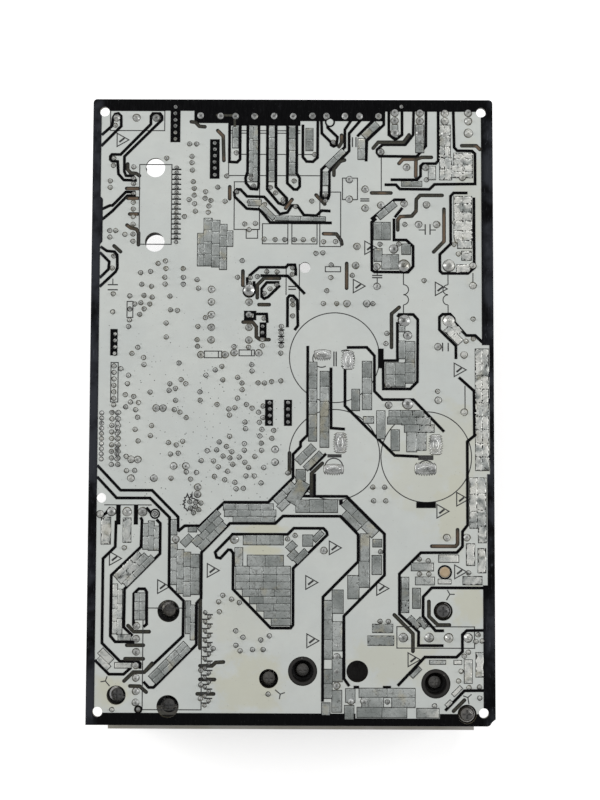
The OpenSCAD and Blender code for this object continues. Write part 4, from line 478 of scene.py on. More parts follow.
# centre x, y, reach x, y in board millimetres, strength and ragged edge of each stain
STAINS = [
    (66, 75.5, 13, 2.4, 0.75, 0.5), (68, 67.2, 9, 2.6, 0.85, 0.4), (63, 15, 17, 14, 0.6, 0.8),
    (9, 13, 9, 8, 0.7, 0.6), (142, 84, 7, 20, 0.6, 0.9), (148, 46, 9, 9, 0.6, 0.8),
    (120, 26, 20, 12, 0.45, 0.9), (146, 110, 10, 16, 0.4, 0.9), (149, 205, 6, 34, 0.3, 0.9),
    (138, 100, 26, 26, 0.35, 0.8), (70.5, 17.9, 7, 7, 0.55, 0.5), (60, 40, 16, 12, 0.25, 0.9),
]
yellow, *others = [times(stain(place, *spot, ragged), strength * 0.75)
                   for *spot, strength, ragged in STAINS]
for part in others:
    yellow = calc("MAXIMUM", yellow, part)
tint = blend(yellow, tint, (0.56, 0.54, 0.38))
via = settle(add_node(place, "TexVoronoi"), Vector=place, Scale=0.5)
dots = times(ramp(via["Distance"], 0.09, 0.14, 0.85, 0.0), stain(place, 44, 112, 46, 52, 1.0))
tint = blend(dots, tint, (0.08, 0.08, 0.075))
tint = blend(times(marks["Speck"], 0.35), tint, (0.3, 0.3, 0.28))
cut = calc("LESS_THAN", calc("ABSOLUTE", normal_z(place)), 0.5)
tint = blend(cut, tint, (0.1, 0.085, 0.05))
settle(shader, Base_Color=tint, Roughness=gloss(marks, 0.32, 0.5),
       Coat_Weight=0.25, Coat_Roughness=0.3)
bump(shader, calc("ADD", fine["Grain"], times(dots, -1.5)), 0.2, 0.03)
dress_node("circuit_board", mat)
print("solder mask with", len(STAINS), "stains")

# %% [markdown]
# ## Thick black print
# Glossy black with fine scratches, and dull bluish grey scuffs along the rim that are partly a painted
# reflection in the base colour.

# %% Black print
mat, shader, place = new_material("black_print")
marks = patina_of(place, 5.0, 0.8, 1.1)
streak = noise(stretched(place, 0.16), 1.6, 6.0, 0.7, 0.6)
rim = ramp(calc("ABSOLUTE", split(place)["X"]), 73.5, 77.0)
# scuffs and painted reflection: bluish grey streaks in the base colour, strongest along the rim
scuff_and_painted_reflection = times(ramp(streak, 0.58, 0.72), calc("ADD", times(rim, 0.4), 0.03))
tint = blend(scuff_and_painted_reflection, (0.003, 0.003, 0.0035), (0.2, 0.21, 0.25))
worn = times(rim, ramp(noise(place, 0.06, 4.0, 0.6), 0.35, 0.6))
tint = blend(times(worn, 0.8), tint, (0.04, 0.043, 0.052))
tint = blend(times(marks["Speck"], 0.08), tint, grey(0.4))
settle(shader, Base_Color=tint, Roughness=ramp(streak, 0.35, 0.65, 0.16, 0.42),
       Specular_IOR_Level=0.06, Coat_Weight=0.02, Coat_Roughness=0.15)
bump(shader, streak, 0.5, 0.15)
dress_node("guard_print", mat)
print("black print")

# %% [markdown]
# ## Solder
# Tinned copper that has frozen in ripples: bright metal, dull grey where it cooled slowly, and
# amber flux in places. Thin dark crease lines and dark lead tops are painted shade; towards the
# board's sides, white and near-black blotches are painted highlights and painted reflections.

# %% Solder material
def solder_material(name, bright, dull, amber, ripple_depth, metal):
    """Frozen solder; `bright` and `dull` are its two greys, `amber` the share of flux stains."""
    mat, shader, place = new_material(name)
    marks = patina_of(place, 14.0, 0.9, 0.9)
    ripple = noise(place, 0.45, 4.0, 0.5, 0.8)
    island = add_node(place, "NewGeometry").outputs["Random Per Island"]
    share = calc("ADD", times(marks["Blotch"], 0.7), times(island, 0.45))
    tint = blend(share, bright, dull)
    tint = blend(times(ramp(noise(place, 0.12, 3.0), 0.56, 0.7), amber), tint,
                 (0.5, 0.42, 0.22))
    tint = blend(times(marks["Speck"], 0.5), tint, (0.12, 0.12, 0.11))
    wave = noise(place, 0.3, 3.0, 0.5, 1.2)
    # painted shade: thin near-black lines along the ripples, as in creases
    painted_crease_shade = ramp(calc("ABSOLUTE", calc("SUBTRACT", wave, 0.5)), 0.004, 0.022, 0.6, 0.0)
    tint = blend(painted_crease_shade, tint, (0.1, 0.1, 0.09))
    x, _, z = split(place)
    # painted shade: the lead tops, over 1.2 mm above the board, are darkened almost to black
    painted_lead_top_shade = ramp(z, TOP / MM + 1.2, TOP / MM + 1.4, 0.0, 0.7)
    tint = blend(painted_lead_top_shade, tint, (0.06, 0.06, 0.055))
    # painted highlights and painted reflections: white and near-black blotches in the base colour, towards
    # the board's right side and less towards its left
    painted_glare_zone = calc("MAXIMUM", ramp(x, 46.0, 64.0), ramp(x, -56.0, -66.0, 0.0, 0.8))
    splash = noise(place, 0.22, 4.0, 0.55, 0.8)
    painted_highlight = times(times(painted_glare_zone, 0.8), ramp(splash, 0.36, 0.6))
    tint = blend(painted_highlight, tint, (0.86, 0.86, 0.81))
    tint = blend(times(painted_glare_zone, ramp(splash, 0.36, 0.3)), tint, grey(0.05))
    settle(shader, Base_Color=tint, Roughness=ramp(ripple, 0.35, 0.65, 0.24, 0.42), Metallic=metal)
    bump(shader, calc("ADD", ripple, times(marks["Grain"], 0.15)), 0.4, ripple_depth)
    return mat


TRACK = solder_material("track_solder", (0.52, 0.545, 0.53), (0.24, 0.26, 0.25), 0.3, 0.3, 0.3)
JOINT = solder_material("joint_solder", (0.8, 0.81, 0.8), (0.5, 0.51, 0.5), 0.25, 0.2, 0.6)
# painted shade: near-black quads under the bricks, a little larger than them, draw dark grooves between them
GROOVE_SHADE = finish("painted_groove_shade", grey(0.02), (0.05, 0.05, 0.045), (0.35, 0.5), blotch=6)
print("solder materials")

# %% [markdown]
# ## Solder bricks
# Each solid of `solder_tracks` gives one frozen brick. With u, v along and across the brick, its
# outline is u = clip(a cos t), v = clip(a sin t) to -1..1, a = FULLNESS, shaken by a little noise.
# The skin climbs in four loops: loop k is the outline drawn in by s_k at the height h * q_k. Where the solder
# was ragged in the photo, the outline has more corners and more noise.

# %% Solder bricks
# Board areas (x, y from and to, in millimetres) where the solder has a ragged edge
RAGGED = (
    (104, 28, 134, 46), (134, 150, 158, 245), (148, 0, 158, 150), (0, 60, 20, 84), (126, 92, 140, 128))
FULLNESS = 1.46
BRICK_HEIGHT = 0.26 * MM
# first seed of the bricks, of the joints and of the header's low pads
BRICK_SEED, JOINT_SEED, PAD_SEED = 100, 900, 2000


def brick(c, d, length, width, height, seed):
    """Skin of one brick at c with the direction d; the seed shakes its outline."""
    local = np.random.default_rng(seed)
    x, y = c / MM + HALF
    ragged = any(x0 < x < x1 and y0 < y < y1 for x0, y0, x1, y1 in RAGGED)
    n = 44 if ragged else 20
    t = circle(n, 0.5)
    x, y = (np.clip(FULLNESS * wave(t), -1, 1) for wave in (np.cos, np.sin))
    shake = local.normal(0, (0.17 if ragged else 0.02) * MM / (width / 2), (2, n))
    tilt = local.uniform(-0.2, 0.2, 2)
    loops = []
    for s, q in ((1.0, 0.0), (0.99, 0.85), (0.96, 0.97), (0.6, 1.0)):
        inset = (1 - s) * width / 2
        px = (length / 2 - inset) * x * (1 + shake[0] * width / length)
        py = (width / 2 - inset) * y * (1 + shake[1])
        loops.append(flat_loop(c, d, px, py, TOP + height * q * (1 + tilt[0] * x + tilt[1] * y)))
    return rings(loops)


def groove_shade_quad(c, d, length, width):
    """Flat quad under a brick; its near-black edge round the brick is painted shade in the grooves."""
    u, v = np.array([(-1, 1, 1, -1), (-1, -1, 1, 1)])
    return flat_loop(c, d, u * length / 2, v * width / 2, TOP + 0.014 * MM), [[0, 1, 2, 3]]


def clear_way(start, heading, c, d, size):
    """Distance from start along heading to each rectangle; c centres, d directions, size (n, 2)."""
    side = np.c_[-d[:, 1], d[:, 0]]
    low, high = np.full(len(c), -np.inf), np.full(len(c), np.inf)
    for axis, half in ((d, size[:, 0] / 2), (side, size[:, 1] / 2)):
        speed = axis @ heading
        speed = np.where(np.abs(speed) < 1e-9, 1e-9, speed)
        mid = ((c - start) * axis).sum(1) / speed
        low = np.maximum(low, mid - half / np.abs(speed))
        high = np.minimum(high, mid + half / np.abs(speed))
    low = np.maximum(low, 0)
    return np.where(high > low, low, np.inf)


def grown(c, d, size, reach, seam, rest):
    """Rectangles grown half-way to their neighbours within reach, by `rest` where there are none."""
    side = np.c_[-d[:, 1], d[:, 0]]
    grow = np.full((len(c), 4), rest)
    for i in range(len(c)):
        others = np.arange(len(c)) != i
        for k, (out, along, a, b) in enumerate((
                (d[i], side[i], 0, 1), (-d[i], side[i], 0, 1),
                (side[i], d[i], 1, 0), (-side[i], d[i], 1, 0))):
            edge = c[i] + out * size[i, a] / 2
            starts = (edge + along * size[i, b] * t for t in (-0.42, -0.2, 0.0, 0.2, 0.42))
            gap = min(clear_way(p, out, c[others], d[others], size[others]).min() for p in starts)
            if gap < reach:
                grow[i, k] = gap / 2 - seam / 2
    c = c + d * (grow[:, 0] - grow[:, 1])[:, None] / 2 + side * (grow[:, 2] - grow[:, 3])[:, None] / 2
    return c, np.c_[size[:, 0] + grow[:, 0] + grow[:, 1], size[:, 1] + grow[:, 2] + grow[:, 3]]


boxes = [b for b in map(long_way, islands("solder_tracks")) if b[2] > 0.6 * MM]
middles, headings = np.array([b[0] for b in boxes]), np.array([b[1] for b in boxes])
sizes = np.array([b[2:] for b in boxes])
middles, sizes = grown(middles, headings, sizes, reach=1.4 * MM, seam=0.15 * MM, rest=0.1 * MM)
shapes, groove_shades = [], []
for k, (c, d, (length, width)) in enumerate(zip(middles, headings, sizes)):
    shapes.append(brick(c, d, length, width, BRICK_HEIGHT, BRICK_SEED + k))
    # each brick gets a quad of painted groove shade, 0.3 mm wider on every side
    groove_shades.append(groove_shade_quad(c, d, length + 0.6 * MM, width + 0.6 * MM))
bricks = piece("solder_bricks", shapes, TRACK)
piece("track_groove_shade", groove_shades, GROOVE_SHADE)
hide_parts("solder_tracks")
print("bricks", len(shapes), "faces", len(bricks.data.polygons))

# %% [markdown]
# ## Solder joints
# A joint is a surface of revolution, r(z) falling from the pad to the lead like a wetted fillet,
# with its rim pulled out of round, a cut lead on top and a near-black ring round its foot. The
# lugs of the large capacitors stand in toothed pads instead, each with a dark outline.

# %% Solder joints
EAST = np.array([1.0, 0.0])
FILLET = ((1.0, 0.0), (0.9, 0.18), (0.66, 0.42), (0.46, 0.72), (0.36, 1.0), (0.32, 1.45), (0.2, 1.5))


def joint(c, radius, height, seed):
    """Skin of one joint at c; the seed pulls its rim out of round and leans it."""
    local = np.random.default_rng(seed)
    t = circle(12)
    pull = 1 + 0.09 * np.cos(t - local.uniform(0, 6.28)) + local.normal(0, 0.025, len(t))
    lean = local.normal(0, 0.06, 2) * radius
    loops = []
    for s, q in FILLET:
        r = radius * s * (pull if s > 0.5 else 1.0)
        loops.append(flat_loop(c + lean * q, EAST, r * np.cos(t), r * np.sin(t), TOP + height * q))
    return rings(loops)


# x, y of each lug in board millimetres, direction in degrees, length and width in millimetres, and
# which of its pad's long sides are toothed
LUGS = (
    (91, 143.8, 0, 6.2, 3.2, (-1,)), (101, 141.4, 90, 7.0, 3.4, (-1, 1)),
    (98, 109, 90, 7.6, 3.6, (-1, 1)), (95.4, 99, 0, 7.4, 3.2, (-1,)),
    (135.2, 108.4, 90, 7.6, 3.6, (-1, 1)), (131.2, 99, 0, 8.0, 3.4, (-1, 1)))
TOOTH = 0.95 * MM


def comb(length, width, toothed, grow=0.0):
    """Outline of a pad that bows out; its toothed sides rise by TOOTH at every other point."""
    teeth = max(4, round(length / TOOTH))
    outline = []
    for side in (-1, 1):
        for i, x in enumerate(np.linspace(-length / 2, length / 2, 2 * teeth + 1)[::-side]):
            rise = TOOTH * (i % 2) if side in toothed else 0.0
            bow = 0.16 * width * (1 - (2 * x / length) ** 2)
            outline.append((x + np.sign(x) * grow * (abs(x) > 0.49 * length),
                            side * (width / 2 - 0.16 * width + bow + rise + grow)))
    return np.array(outline)


def lug(c, d, length, width, toothed):
    """Toothed solder, an oval mound on it, and the lug's bent end."""
    t = circle(20)
    flat = comb(length, width, toothed)
    oval = np.c_[np.cos(t) * length * 0.4, np.sin(t) * width * 0.36]
    bar = np.array([(-1.2, -0.4), (1.2, -0.4), (1.2, 0.4), (-1.2, 0.4)]) * MM
    # each outline with its levels: share of its size, height over the board in millimetres
    skins = ((flat, ((1, 0), (1, 0.16), (0.93, 0.2))),
             (oval, ((1, 0.15), (0.95, 0.5), (0.8, 0.72), (0.5, 0.78))),
             (bar, ((1, 0.7), (1, 1.2), (0.8, 1.3))))
    return [rings([flat_loop(c, d, *(outline * s).T, TOP + h * MM) for s, h in levels])
            for outline, levels in skins]


LEAD_SHARE = 0.34


def lead_ends(solid):
    """Centre, joint radius and height at each lead of merged joints: radius = lead radius / LEAD_SHARE."""
    rim = solid[solid[:, 2] > TOP + 1.38 * MM]
    group = np.arange(len(rim))
    near = np.hypot(*(rim[:, None, :2] - rim[None, :, :2]).transpose(2, 0, 1)) < 0.42 * MM
    for i in range(len(rim)):
        touching = np.unique(group[near[i]])
        group[np.isin(group, touching)] = touching.min()
    for g in np.unique(group):
        low, high = rim[group == g].min(0), rim[group == g].max(0)
        yield (low + high)[:2] / 2, (high - low)[:2].max() / 2 / LEAD_SHARE, high[2] - TOP


shapes, dark_rings = [], []
for k, (c, radius, height) in enumerate(e for solid in islands("solder_joints") for e in lead_ends(solid)):
    found = [m for m in LUGS if np.hypot(*(c / MM + HALF - m[:2])) < 0.6]
    if found:
        _, _, angle, length, width, toothed = found[0]
        d = np.array([math.cos(math.radians(angle)), math.sin(math.radians(angle))])
        length, width = length * MM, width * MM
        shapes.extend(lug(c, d, length, width, toothed))
        dark = comb(length, width, toothed, 0.22 * MM)
        dark_rings.append((flat_loop(c, d, *dark.T, TOP + 0.016 * MM), [list(range(len(dark)))]))
        continue
    radius *= 0.78 if radius < 1.3 * MM or c[1] > 0.113 else 0.92
    shapes.append(joint(c, radius, height / 1.5 * 0.98, JOINT_SEED + k))
    t = circle(14)
    outer = radius + (0.26 + 0.05 * np.sin(3 * t + k)) * MM
    verts, faces = rings([flat_loop(c, EAST, r * np.cos(t), r * np.sin(t), TOP + lift * MM)
                          for r, lift in ((radius * 0.9, 0.02), (outer, 0.012))], False)
    dark_rings.append((verts, [face[::-1] for face in faces]))
# low pads of the two outer rows of the signal header
HEADER_X, HEADER_Y = (4.8, 10.9), np.arange(102.4, 120.5, 2.0)
for x in HEADER_X:
    for k, y in enumerate(HEADER_Y):
        shapes.append(joint(grid((x, y)), 0.72 * MM, 0.5 * MM, PAD_SEED + k))
joints = piece("soldered_joints", shapes, JOINT)
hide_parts("solder_joints")
# near-black rings round the joints' feet and outlines round the lug pads
DARK_RING = finish("joint_dark_ring", (0.04, 0.04, 0.038), (0.1, 0.09, 0.06), (0.35, 0.5))
piece("joint_dark_rings", dark_rings, DARK_RING)

# %% [markdown]
# ## Thin print
# The outlines of the hidden parts: ribbons that lie just over the mask. A ribbon's corner is mitred:
# the edge point is p + m * w / (m . m), where w is the width and m is the sum of the normals of the
# two segments that meet there. Ribbons that cross have lifts of their own, so that none flickers.

# %% Thin print
def pairs(row):
    """x, y, x, y, ... to points."""
    return np.reshape(row, (-1, 2))


def at_height(points, lift):
    return np.c_[points, np.full(len(points), TOP + lift * MM)]


def ribbon(path, width, closed=False, lift=0.012):
    """Flat band along a path in board millimetres, `lift` over the top."""
    p = grid(path)
    n = len(p)
    ahead = np.roll(p, -1, 0) - p
    if not closed:
        ahead[-1] = ahead[-2]
    ahead /= np.linalg.norm(ahead, axis=1)[:, None]
    behind = np.roll(ahead, 1, 0)
    if not closed:
        behind[0] = ahead[0]
    m = np.c_[-ahead[:, 1], ahead[:, 0]] + np.c_[-behind[:, 1], behind[:, 0]]
    edge = m * (width * MM / (m * m).sum(1))[:, None]
    faces = [[n + i, n + (i + 1) % n, (i + 1) % n, i] for i in range(n if closed else n - 1)]
    return at_height(np.vstack([p + edge, p - edge]), lift), faces


def patch(path, lift):
    """One flat face inside a path."""
    return at_height(grid(path), lift), [list(range(len(path)))]


def arc(cx, cy, r, a, b, n):
    """n points of a circle from a to b degrees."""
    t = np.radians(np.linspace(a, b, n))
    return np.c_[cx + r * np.cos(t), cy + r * np.sin(t)]


def box_path(x0, y0, x1, y1):
    return [(x0, y0), (x1, y0), (x1, y1), (x0, y1)]


LINE = 0.4
# outlines of parts: x, y of two corners in board millimetres
FRAMES = [
    (6.8, 232.4, 28.3, 240.4), (18.6, 187, 31.3, 218.8), (98.7, 205, 104.6, 213.6),
    (67.2, 187.3, 77.2, 195.3), (78.8, 187.3, 88.7, 195.3), (89.8, 186.3, 98, 208), (56, 193, 66, 212),
    (60.8, 189.5, 65.3, 193), (92, 176.3, 98, 178.3), (44.7, 142.2, 51.5, 144.8), (58.3, 143, 64.3, 145.3),
    (8.2, 124.7, 11, 140.2), (14.2, 158, 16.5, 164.3), (21.8, 5.9, 44.5, 44.8), (120, 29.8, 150, 38),
]
# single strokes: x, y, x, y
LINES = [
    (54, 231.5, 82, 231.5), (54, 232.5, 82, 232.5), (58, 223, 87, 223),
    (53.6, 214.5, 90, 214.5), (53.7, 215, 53.7, 220), (76.6, 167, 76.6, 178),
    (81.8, 161, 81.8, 179.3), (114, 208.5, 114, 222), (150, 172, 150, 176),
    (8.5, 171, 8.5, 173.3), (50.2, 142.2, 50.2, 144.8), (63.2, 143, 63.2, 145.3),
    (128.7, 193, 131.3, 193), (133.2, 193, 135.5, 193), (6.2, 84.6, 24.7, 84.6),
    (146.7, 121, 146.7, 131.5), (112.4, 171.5, 112.4, 174), (112.4, 174.9, 112.4, 177.4),
]
# bars of capacitor signs: centre x, y, length, 1 for upright and 0 for level
BARS = [
    (102.6, 228, 4, 1), (104, 228, 4, 1), (131.3, 193.2, 4.2, 1), (133.2, 193.2, 4.2, 1),
    (112.4, 174.9, 4, 0), (112.4, 174, 4, 0), (79, 170.4, 3, 0), (79, 169.3, 3, 0),
    (8.5, 170.9, 4, 0), (8.5, 168.9, 4, 0),
    (107.5, 204.5, 3.6, 0), (107.5, 205.3, 3.6, 0), (138, 146.7, 3.4, 1), (140.2, 146.7, 3.4, 1),
]
CAN_RINGS = ((95.7, 142.4), (95.7, 104.4), (131.5, 103.6))
shapes = [ribbon(arc(x, y, 17.65, 0, 357, 120), LINE, True) for x, y in CAN_RINGS]
shapes += [ribbon(box_path(*f), LINE, True, 0.014) for f in FRAMES]
shapes += [ribbon(pairs(row), LINE, lift=0.013) for row in LINES]


def draw(path, width, closed=False, lift=0.012):
    shapes.append(ribbon(path, width, closed, lift))


for x, y, l, up in BARS:
    a, b = ((x, y - l / 2), (x, y + l / 2)) if up else ((x - l / 2, y), (x + l / 2, y))
    draw([a, b], 0.5, lift=0.015)
for x, bulge in ((122.7, 1), (140.2, -1)):
    draw([(x, 176), (x, 171.3)], LINE)
    for y in (169.3, 165.3):
        bow = arc(x, y, 2.0, -90, 90, 10) * [bulge, 1] + [x * (1 - bulge), 0]
        draw(bow, LINE, lift=0.016)
    draw([(x, 163.3), (x, 160)], LINE)
for x, a, b in ((90.6, 60, 300), (100, -120, 120)):
    draw(arc(x, 142, 3.4, a, b, 22), 0.45)
for f in ((95.2, 139, 95.7, 144.8), (96.1, 139, 96.6, 144.8),
          (93, 103.3, 98.5, 104.6), (128.3, 102.4, 134.3, 104.3)):
    shapes.append(patch(box_path(*f), 0.018))
for x0, x1, y0, y1 in ((92, 99, 97, 103), (128, 134.8, 97, 102.2)):
    r = (x1 - x0) / 2
    hood = arc((x0 + x1) / 2, y1 - r, r, 180, 0, 14)
    draw([(x0, y0), *hood, (x1, y0)], 0.45)
print("outlines", len(shapes))

# %% [markdown]
# ## Painted shade in the routed slots
# A film 0.3 mm under the top, olive black with brown patches, on a dark bed, fills each narrow
# slot: painted shade where the board is open. Two trails of the same film lie on the rim.

# %% Slot film, painted shade
# centre lines of the slots: x, y, x, y, ... in board millimetres
SLOTS = [
    (13.8, 219, 13.8, 216.8, 15, 215.4, 17.2, 215.2, 18.5, 214.3),
    (13.5, 209.2, 18.2, 209.2), (14, 205.3, 18, 205.3), (14.8, 199, 18, 199),
    (13.8, 194.6, 15.3, 193.5, 17.5, 193, 18.4, 191.5, 18.4, 186.8), (8.8, 186.3, 11.4, 184),
    (38.8, 236, 40.5, 235.8, 42, 234.2, 44.2, 234), (49.3, 232.5, 51.5, 230.3, 51.8, 220.5),
    (98.3, 230.8, 98.3, 227.8, 97.3, 226.2), (99.5, 220.8, 97.8, 220.3, 95.3, 217.2, 95.3, 214.7),
    (54.2, 210, 54.2, 205.2), (78.8, 205, 76.3, 201.5), (88.3, 206.8, 91.7, 203.2),
    (91.3, 191.4, 96.3, 191.3, 98.2, 188.7, 98.5, 187.3), (100.4, 169.8, 100.4, 179.6),
    (110.8, 225.6, 112.8, 228, 122.8, 228, 125, 231),
    (121, 219.5, 122.5, 221.2, 128, 221.3, 130, 222, 133.8, 222), (127.7, 221, 127.6, 214.3),
    (145.8, 226.7, 151.5, 226.7, 153, 225.2), (110.2, 207.7, 117.8, 207.7),
    (138, 206.8, 129.3, 206.8, 127.8, 205.2, 127.7, 200.5, 126, 198.5, 121.5, 198.3, 120.5, 197,
     120.5, 193),
    (138.7, 201.3, 138.7, 188.5, 134.6, 184.3), (118, 146.5, 118, 159.7, 121, 162.3),
    (65.3, 165.9, 65.3, 171, 68, 173.7, 74, 173.6), (59.6, 170.8, 59.6, 176.5), (66, 163.2, 70, 163.2),
    (59.8, 156.3, 63.5, 156.3, 65, 154.5, 65, 150.5, 66.5, 149.4, 70, 149.4),
    (78.2, 105, 78.2, 97.2), (91, 101, 86.8, 97, 86.8, 88.6),
    (133.6, 69, 142.8, 69, 143.6, 69.9, 143.6, 75.4),
    (16, 38, 18.2, 35.7, 24.2, 35.7), (15.6, 30.5, 22, 30.5), (15, 25.3, 22, 25.3),
    (14.7, 16.8, 18.2, 20.2, 22.5, 20.2, 25.5, 23.6), (17, 14.9, 20.8, 14.8, 23.3, 12.6),
    (43.9, 29.5, 43.9, 47.8), (44, 22.7, 48.6, 22.7, 50, 24, 53, 24.2), (44, 17.5, 49.6, 17.5),
    (43, 12, 49.3, 12), (119, 42.5, 126.2, 35.3, 126.2, 28.6),
    (132.4, 47.7, 132.4, 42, 135.8, 38.7, 140.3, 38.7), (146, 10, 141.8, 5.8),
]
SLOT_W = 1.5
RIM_TOP = (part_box("guard_print")[1][2] - TOP) / MM + 0.03
film, bed_film = [], []
for path in map(pairs, SLOTS):
    # painted shade: a dark film in each slot, with a near-black bed under it
    film.append(ribbon(path, 0.62 * SLOT_W, lift=-0.3))
    bed_film.append(ribbon(path, SLOT_W, lift=-0.35))
    for k, (x, y) in enumerate(path):
        bed_film.append(patch(arc(x, y, SLOT_W / 2, 0, 330, 12), -0.36 - 0.002 * k))
film += [ribbon([(48.6, 238.6), (56.6, 238.6)], 0.9, lift=RIM_TOP),
         ribbon([(56, 238.2), (56, 232.5)], 0.9, lift=RIM_TOP + 0.01)]
# painted shade: the near-black bed under each slot's film
SHADE = finish("slot_shade", (0.01, 0.01, 0.009), (0.025, 0.023, 0.018), (0.4, 0.6))
piece("slot_floor", bed_film, SHADE, False)
slot_film = new_object("slot_shade_film", film, False)
mat, shader, place = new_material("slot_painted_shade")
marks = patina_of(place, 5.0, 0.4, 0.8)
toward_top = ramp(split(place)["Y"], 20.0, 70.0)
brown = times(ramp(noise(place, 0.08, 2.0), 0.48, 0.6), toward_top)
brown = calc("MAXIMUM", brown, stain(place, 138, 72, 9, 6, 0.3))
tint = blend(ramp(marks["Grain"], 0.35, 0.65), (0.012, 0.012, 0.01), (0.05, 0.047, 0.03))
tint = blend(times(brown, 0.8), tint, (0.16, 0.105, 0.065))
settle(shader, Base_Color=tint, Roughness=0.4)
bump(shader, marks["Grain"], 0.3, 0.1)
dress(slot_film, mat)
print("film faces", len(slot_film.data.polygons))

# %% [markdown]
# ## Small signs
# A plain triangle with a short slanted dash stands beside the live tracks, and a three-armed mark
# points at each fixing screw.

# %% Signs
TRIANGLES = [
    (9.5, 226), (107.5, 183.2), (103, 168), (135.2, 167), (142.5, 135.1), (8.5, 61.2), (27.3, 50.4),
    (46.5, 56.7), (93.8, 65.6), (84.7, 52.2), (85.2, 29.8), (135.6, 79.9), (143.3, 84.6), (142.4, 56.5),
    (112.2, 50), (124.3, 22.7),
]
for x, y in TRIANGLES:
    draw([(x, y), (x + 4.7, y + 2.65), (x, y + 5.3)], 0.42, True, 0.017)
    draw([(x + 0.9, y + 1.8), (x + 2.9, y + 3.4)], 0.75, lift=0.019)
for x, y, turn in ((7.5, 16.8, 130), (75, 12, -40), (140.5, 50.5, 60), (147.3, 11, 100)):
    for arm in (0, 60, -60):
        a = math.radians(turn + arm)
        reach = 1.9 if arm else -2.6
        tip = (x + reach * math.cos(a), y + reach * math.sin(a))
        draw([(x, y), tip], 0.42, lift=0.013 + 0.001 * (arm + 60) / 60)
# dashes between the fine legs of the drive module, rings of the outer pads, and a ragged ink splash
for k in range(20):
    x, y = 1.2 * (k % 2), 8.5 + 1.78 * k
    draw([(44.4 + x, y), (47.6 + x, y)], 0.55, lift=0.02)
for x in HEADER_X:
    for y in HEADER_Y:
        draw(arc(x, y, 0.82, 0, 330, 12), 0.3, True, 0.021)
heart = (39.4, 85.6)
reach = np.random.default_rng(7).uniform(1.9, 3.7, 24) * np.where(np.arange(24) % 2, 1.0, 0.75)
splash = (arc(*heart, 1.0, 0, 345, 24) - heart) * reach[:, None] + heart
draw(splash, 0.5, True, 0.022)
outlines = new_object("thin_print", shapes, False)
mat, shader, place = new_material("thin_ink")
marks = patina_of(place, 6.0, 0.25, 0.8)
tint = blend(ramp(marks["Grain"], 0.35, 0.7), grey(0.01), grey(0.06))
settle(shader, Base_Color=tint, Roughness=gloss(marks, 0.4, 0.6))
dress(outlines, mat)
print("thin print faces", len(outlines.data.polygons))

# %% [markdown]
# ## Moulded edges
# Real cases have small radii. A copy of each box-like node is merged, its flat faces are joined
# and its sharp edges are bevelled; the copy then stands for the node.

# %% Moulded edges
def softened(node, radius, segments):
    """Copy of a node with its sharp edges rounded by a radius in millimetres."""
    bm = bmesh.new()
    bm.from_mesh(NODES[node].data)
    bmesh.ops.remove_doubles(bm, verts=bm.verts, dist=0.004 * MM)
    bmesh.ops.dissolve_limit(bm, angle_limit=math.radians(1.0), verts=bm.verts, edges=bm.edges)
    bmesh.ops.recalc_face_normals(bm, faces=bm.faces)
    sharp = [e for e in bm.edges if len(e.link_faces) == 2 and e.calc_face_angle(0) > math.radians(35)]
    bmesh.ops.bevel(bm, geom=sharp, offset=radius * MM, segments=segments, profile=0.5, affect="EDGES",
                    clamp_overlap=True)
    mesh = bpy.data.meshes.new(node + "_moulded")
    bm.to_mesh(mesh)
    bm.free()
    obj = placed(mesh, True)
    mesh.set_sharp_from_angle(angle=math.radians(32))
    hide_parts(node)
    dress(obj, PLAIN[node])


SOFT_EDGES = {
    "main_relay": 0.5, "small_relays": 0.4, "filter_capacitor": 0.7, "terminal_block": 0.3,
    "load_connectors": 0.22, "motor_connector": 0.22, "signal_connectors": 0.18, "transformer_bobbin": 0.35,
    "transformer_core": 0.3, "bridge_rectifier": 0.35, "boost_transistor": 0.3, "boost_diode": 0.3,
    "choke_base": 0.4, "small_chips": 0.15, "supply_controller": 0.15, "bus_film_capacitors": 1.3,
}
for node, radius in SOFT_EDGES.items():
    softened(node, radius, 3 if radius > 1 else 2)
print("moulded", len(SOFT_EDGES))

# %% [markdown]
# ## Small dipped parts
# Each solid of `radial_parts` becomes a flat drop of epoxy. At height w in 0..1 its half length and
# half thickness are a and b times (1 - |2w - 1|^k)^(1/k), a superellipse in both planes.

# %% Dipped parts
def drop(c, d, length, thick, z0, z1):
    """Skin of one drop at c, with the direction d, from the height z0 to z1."""
    t = circle(12)
    x, y = soft_wave(np.cos(t), 0.7), soft_wave(np.sin(t), 0.9)
    loops = []
    for w in (0.0, 0.05, 0.18, 0.45, 0.75, 0.93, 1.0):
        s = max(1 - abs(2 * w - 1) ** 2.6, 0.03) ** (1 / 2.6)
        loops.append(flat_loop(c, d, length / 2 * s * x, thick / 2 * s * y, z0 + (z1 - z0) * w))
    return rings(loops, True, True)


shapes = []
for solid in islands("radial_parts"):
    c, d, length, thick = long_way(solid)
    shapes.append(drop(c, d, length, thick, solid[:, 2].min(), solid[:, 2].max()))
drops = piece("dipped_parts", shapes, PLAIN["radial_parts"])
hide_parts("radial_parts")
print("dipped parts", len(shapes))

# %% [markdown]
# ## Choke windings
# Enamelled wire is swept round the core's section. The centre line of a turn is the superellipse
# x = xm + A * cos(t)^(2/6), z = zm + H * sin(t)^(2/6) in the plane through the core's axis, turned by
# the turn's angle, and the tube round it has the wire's radius.

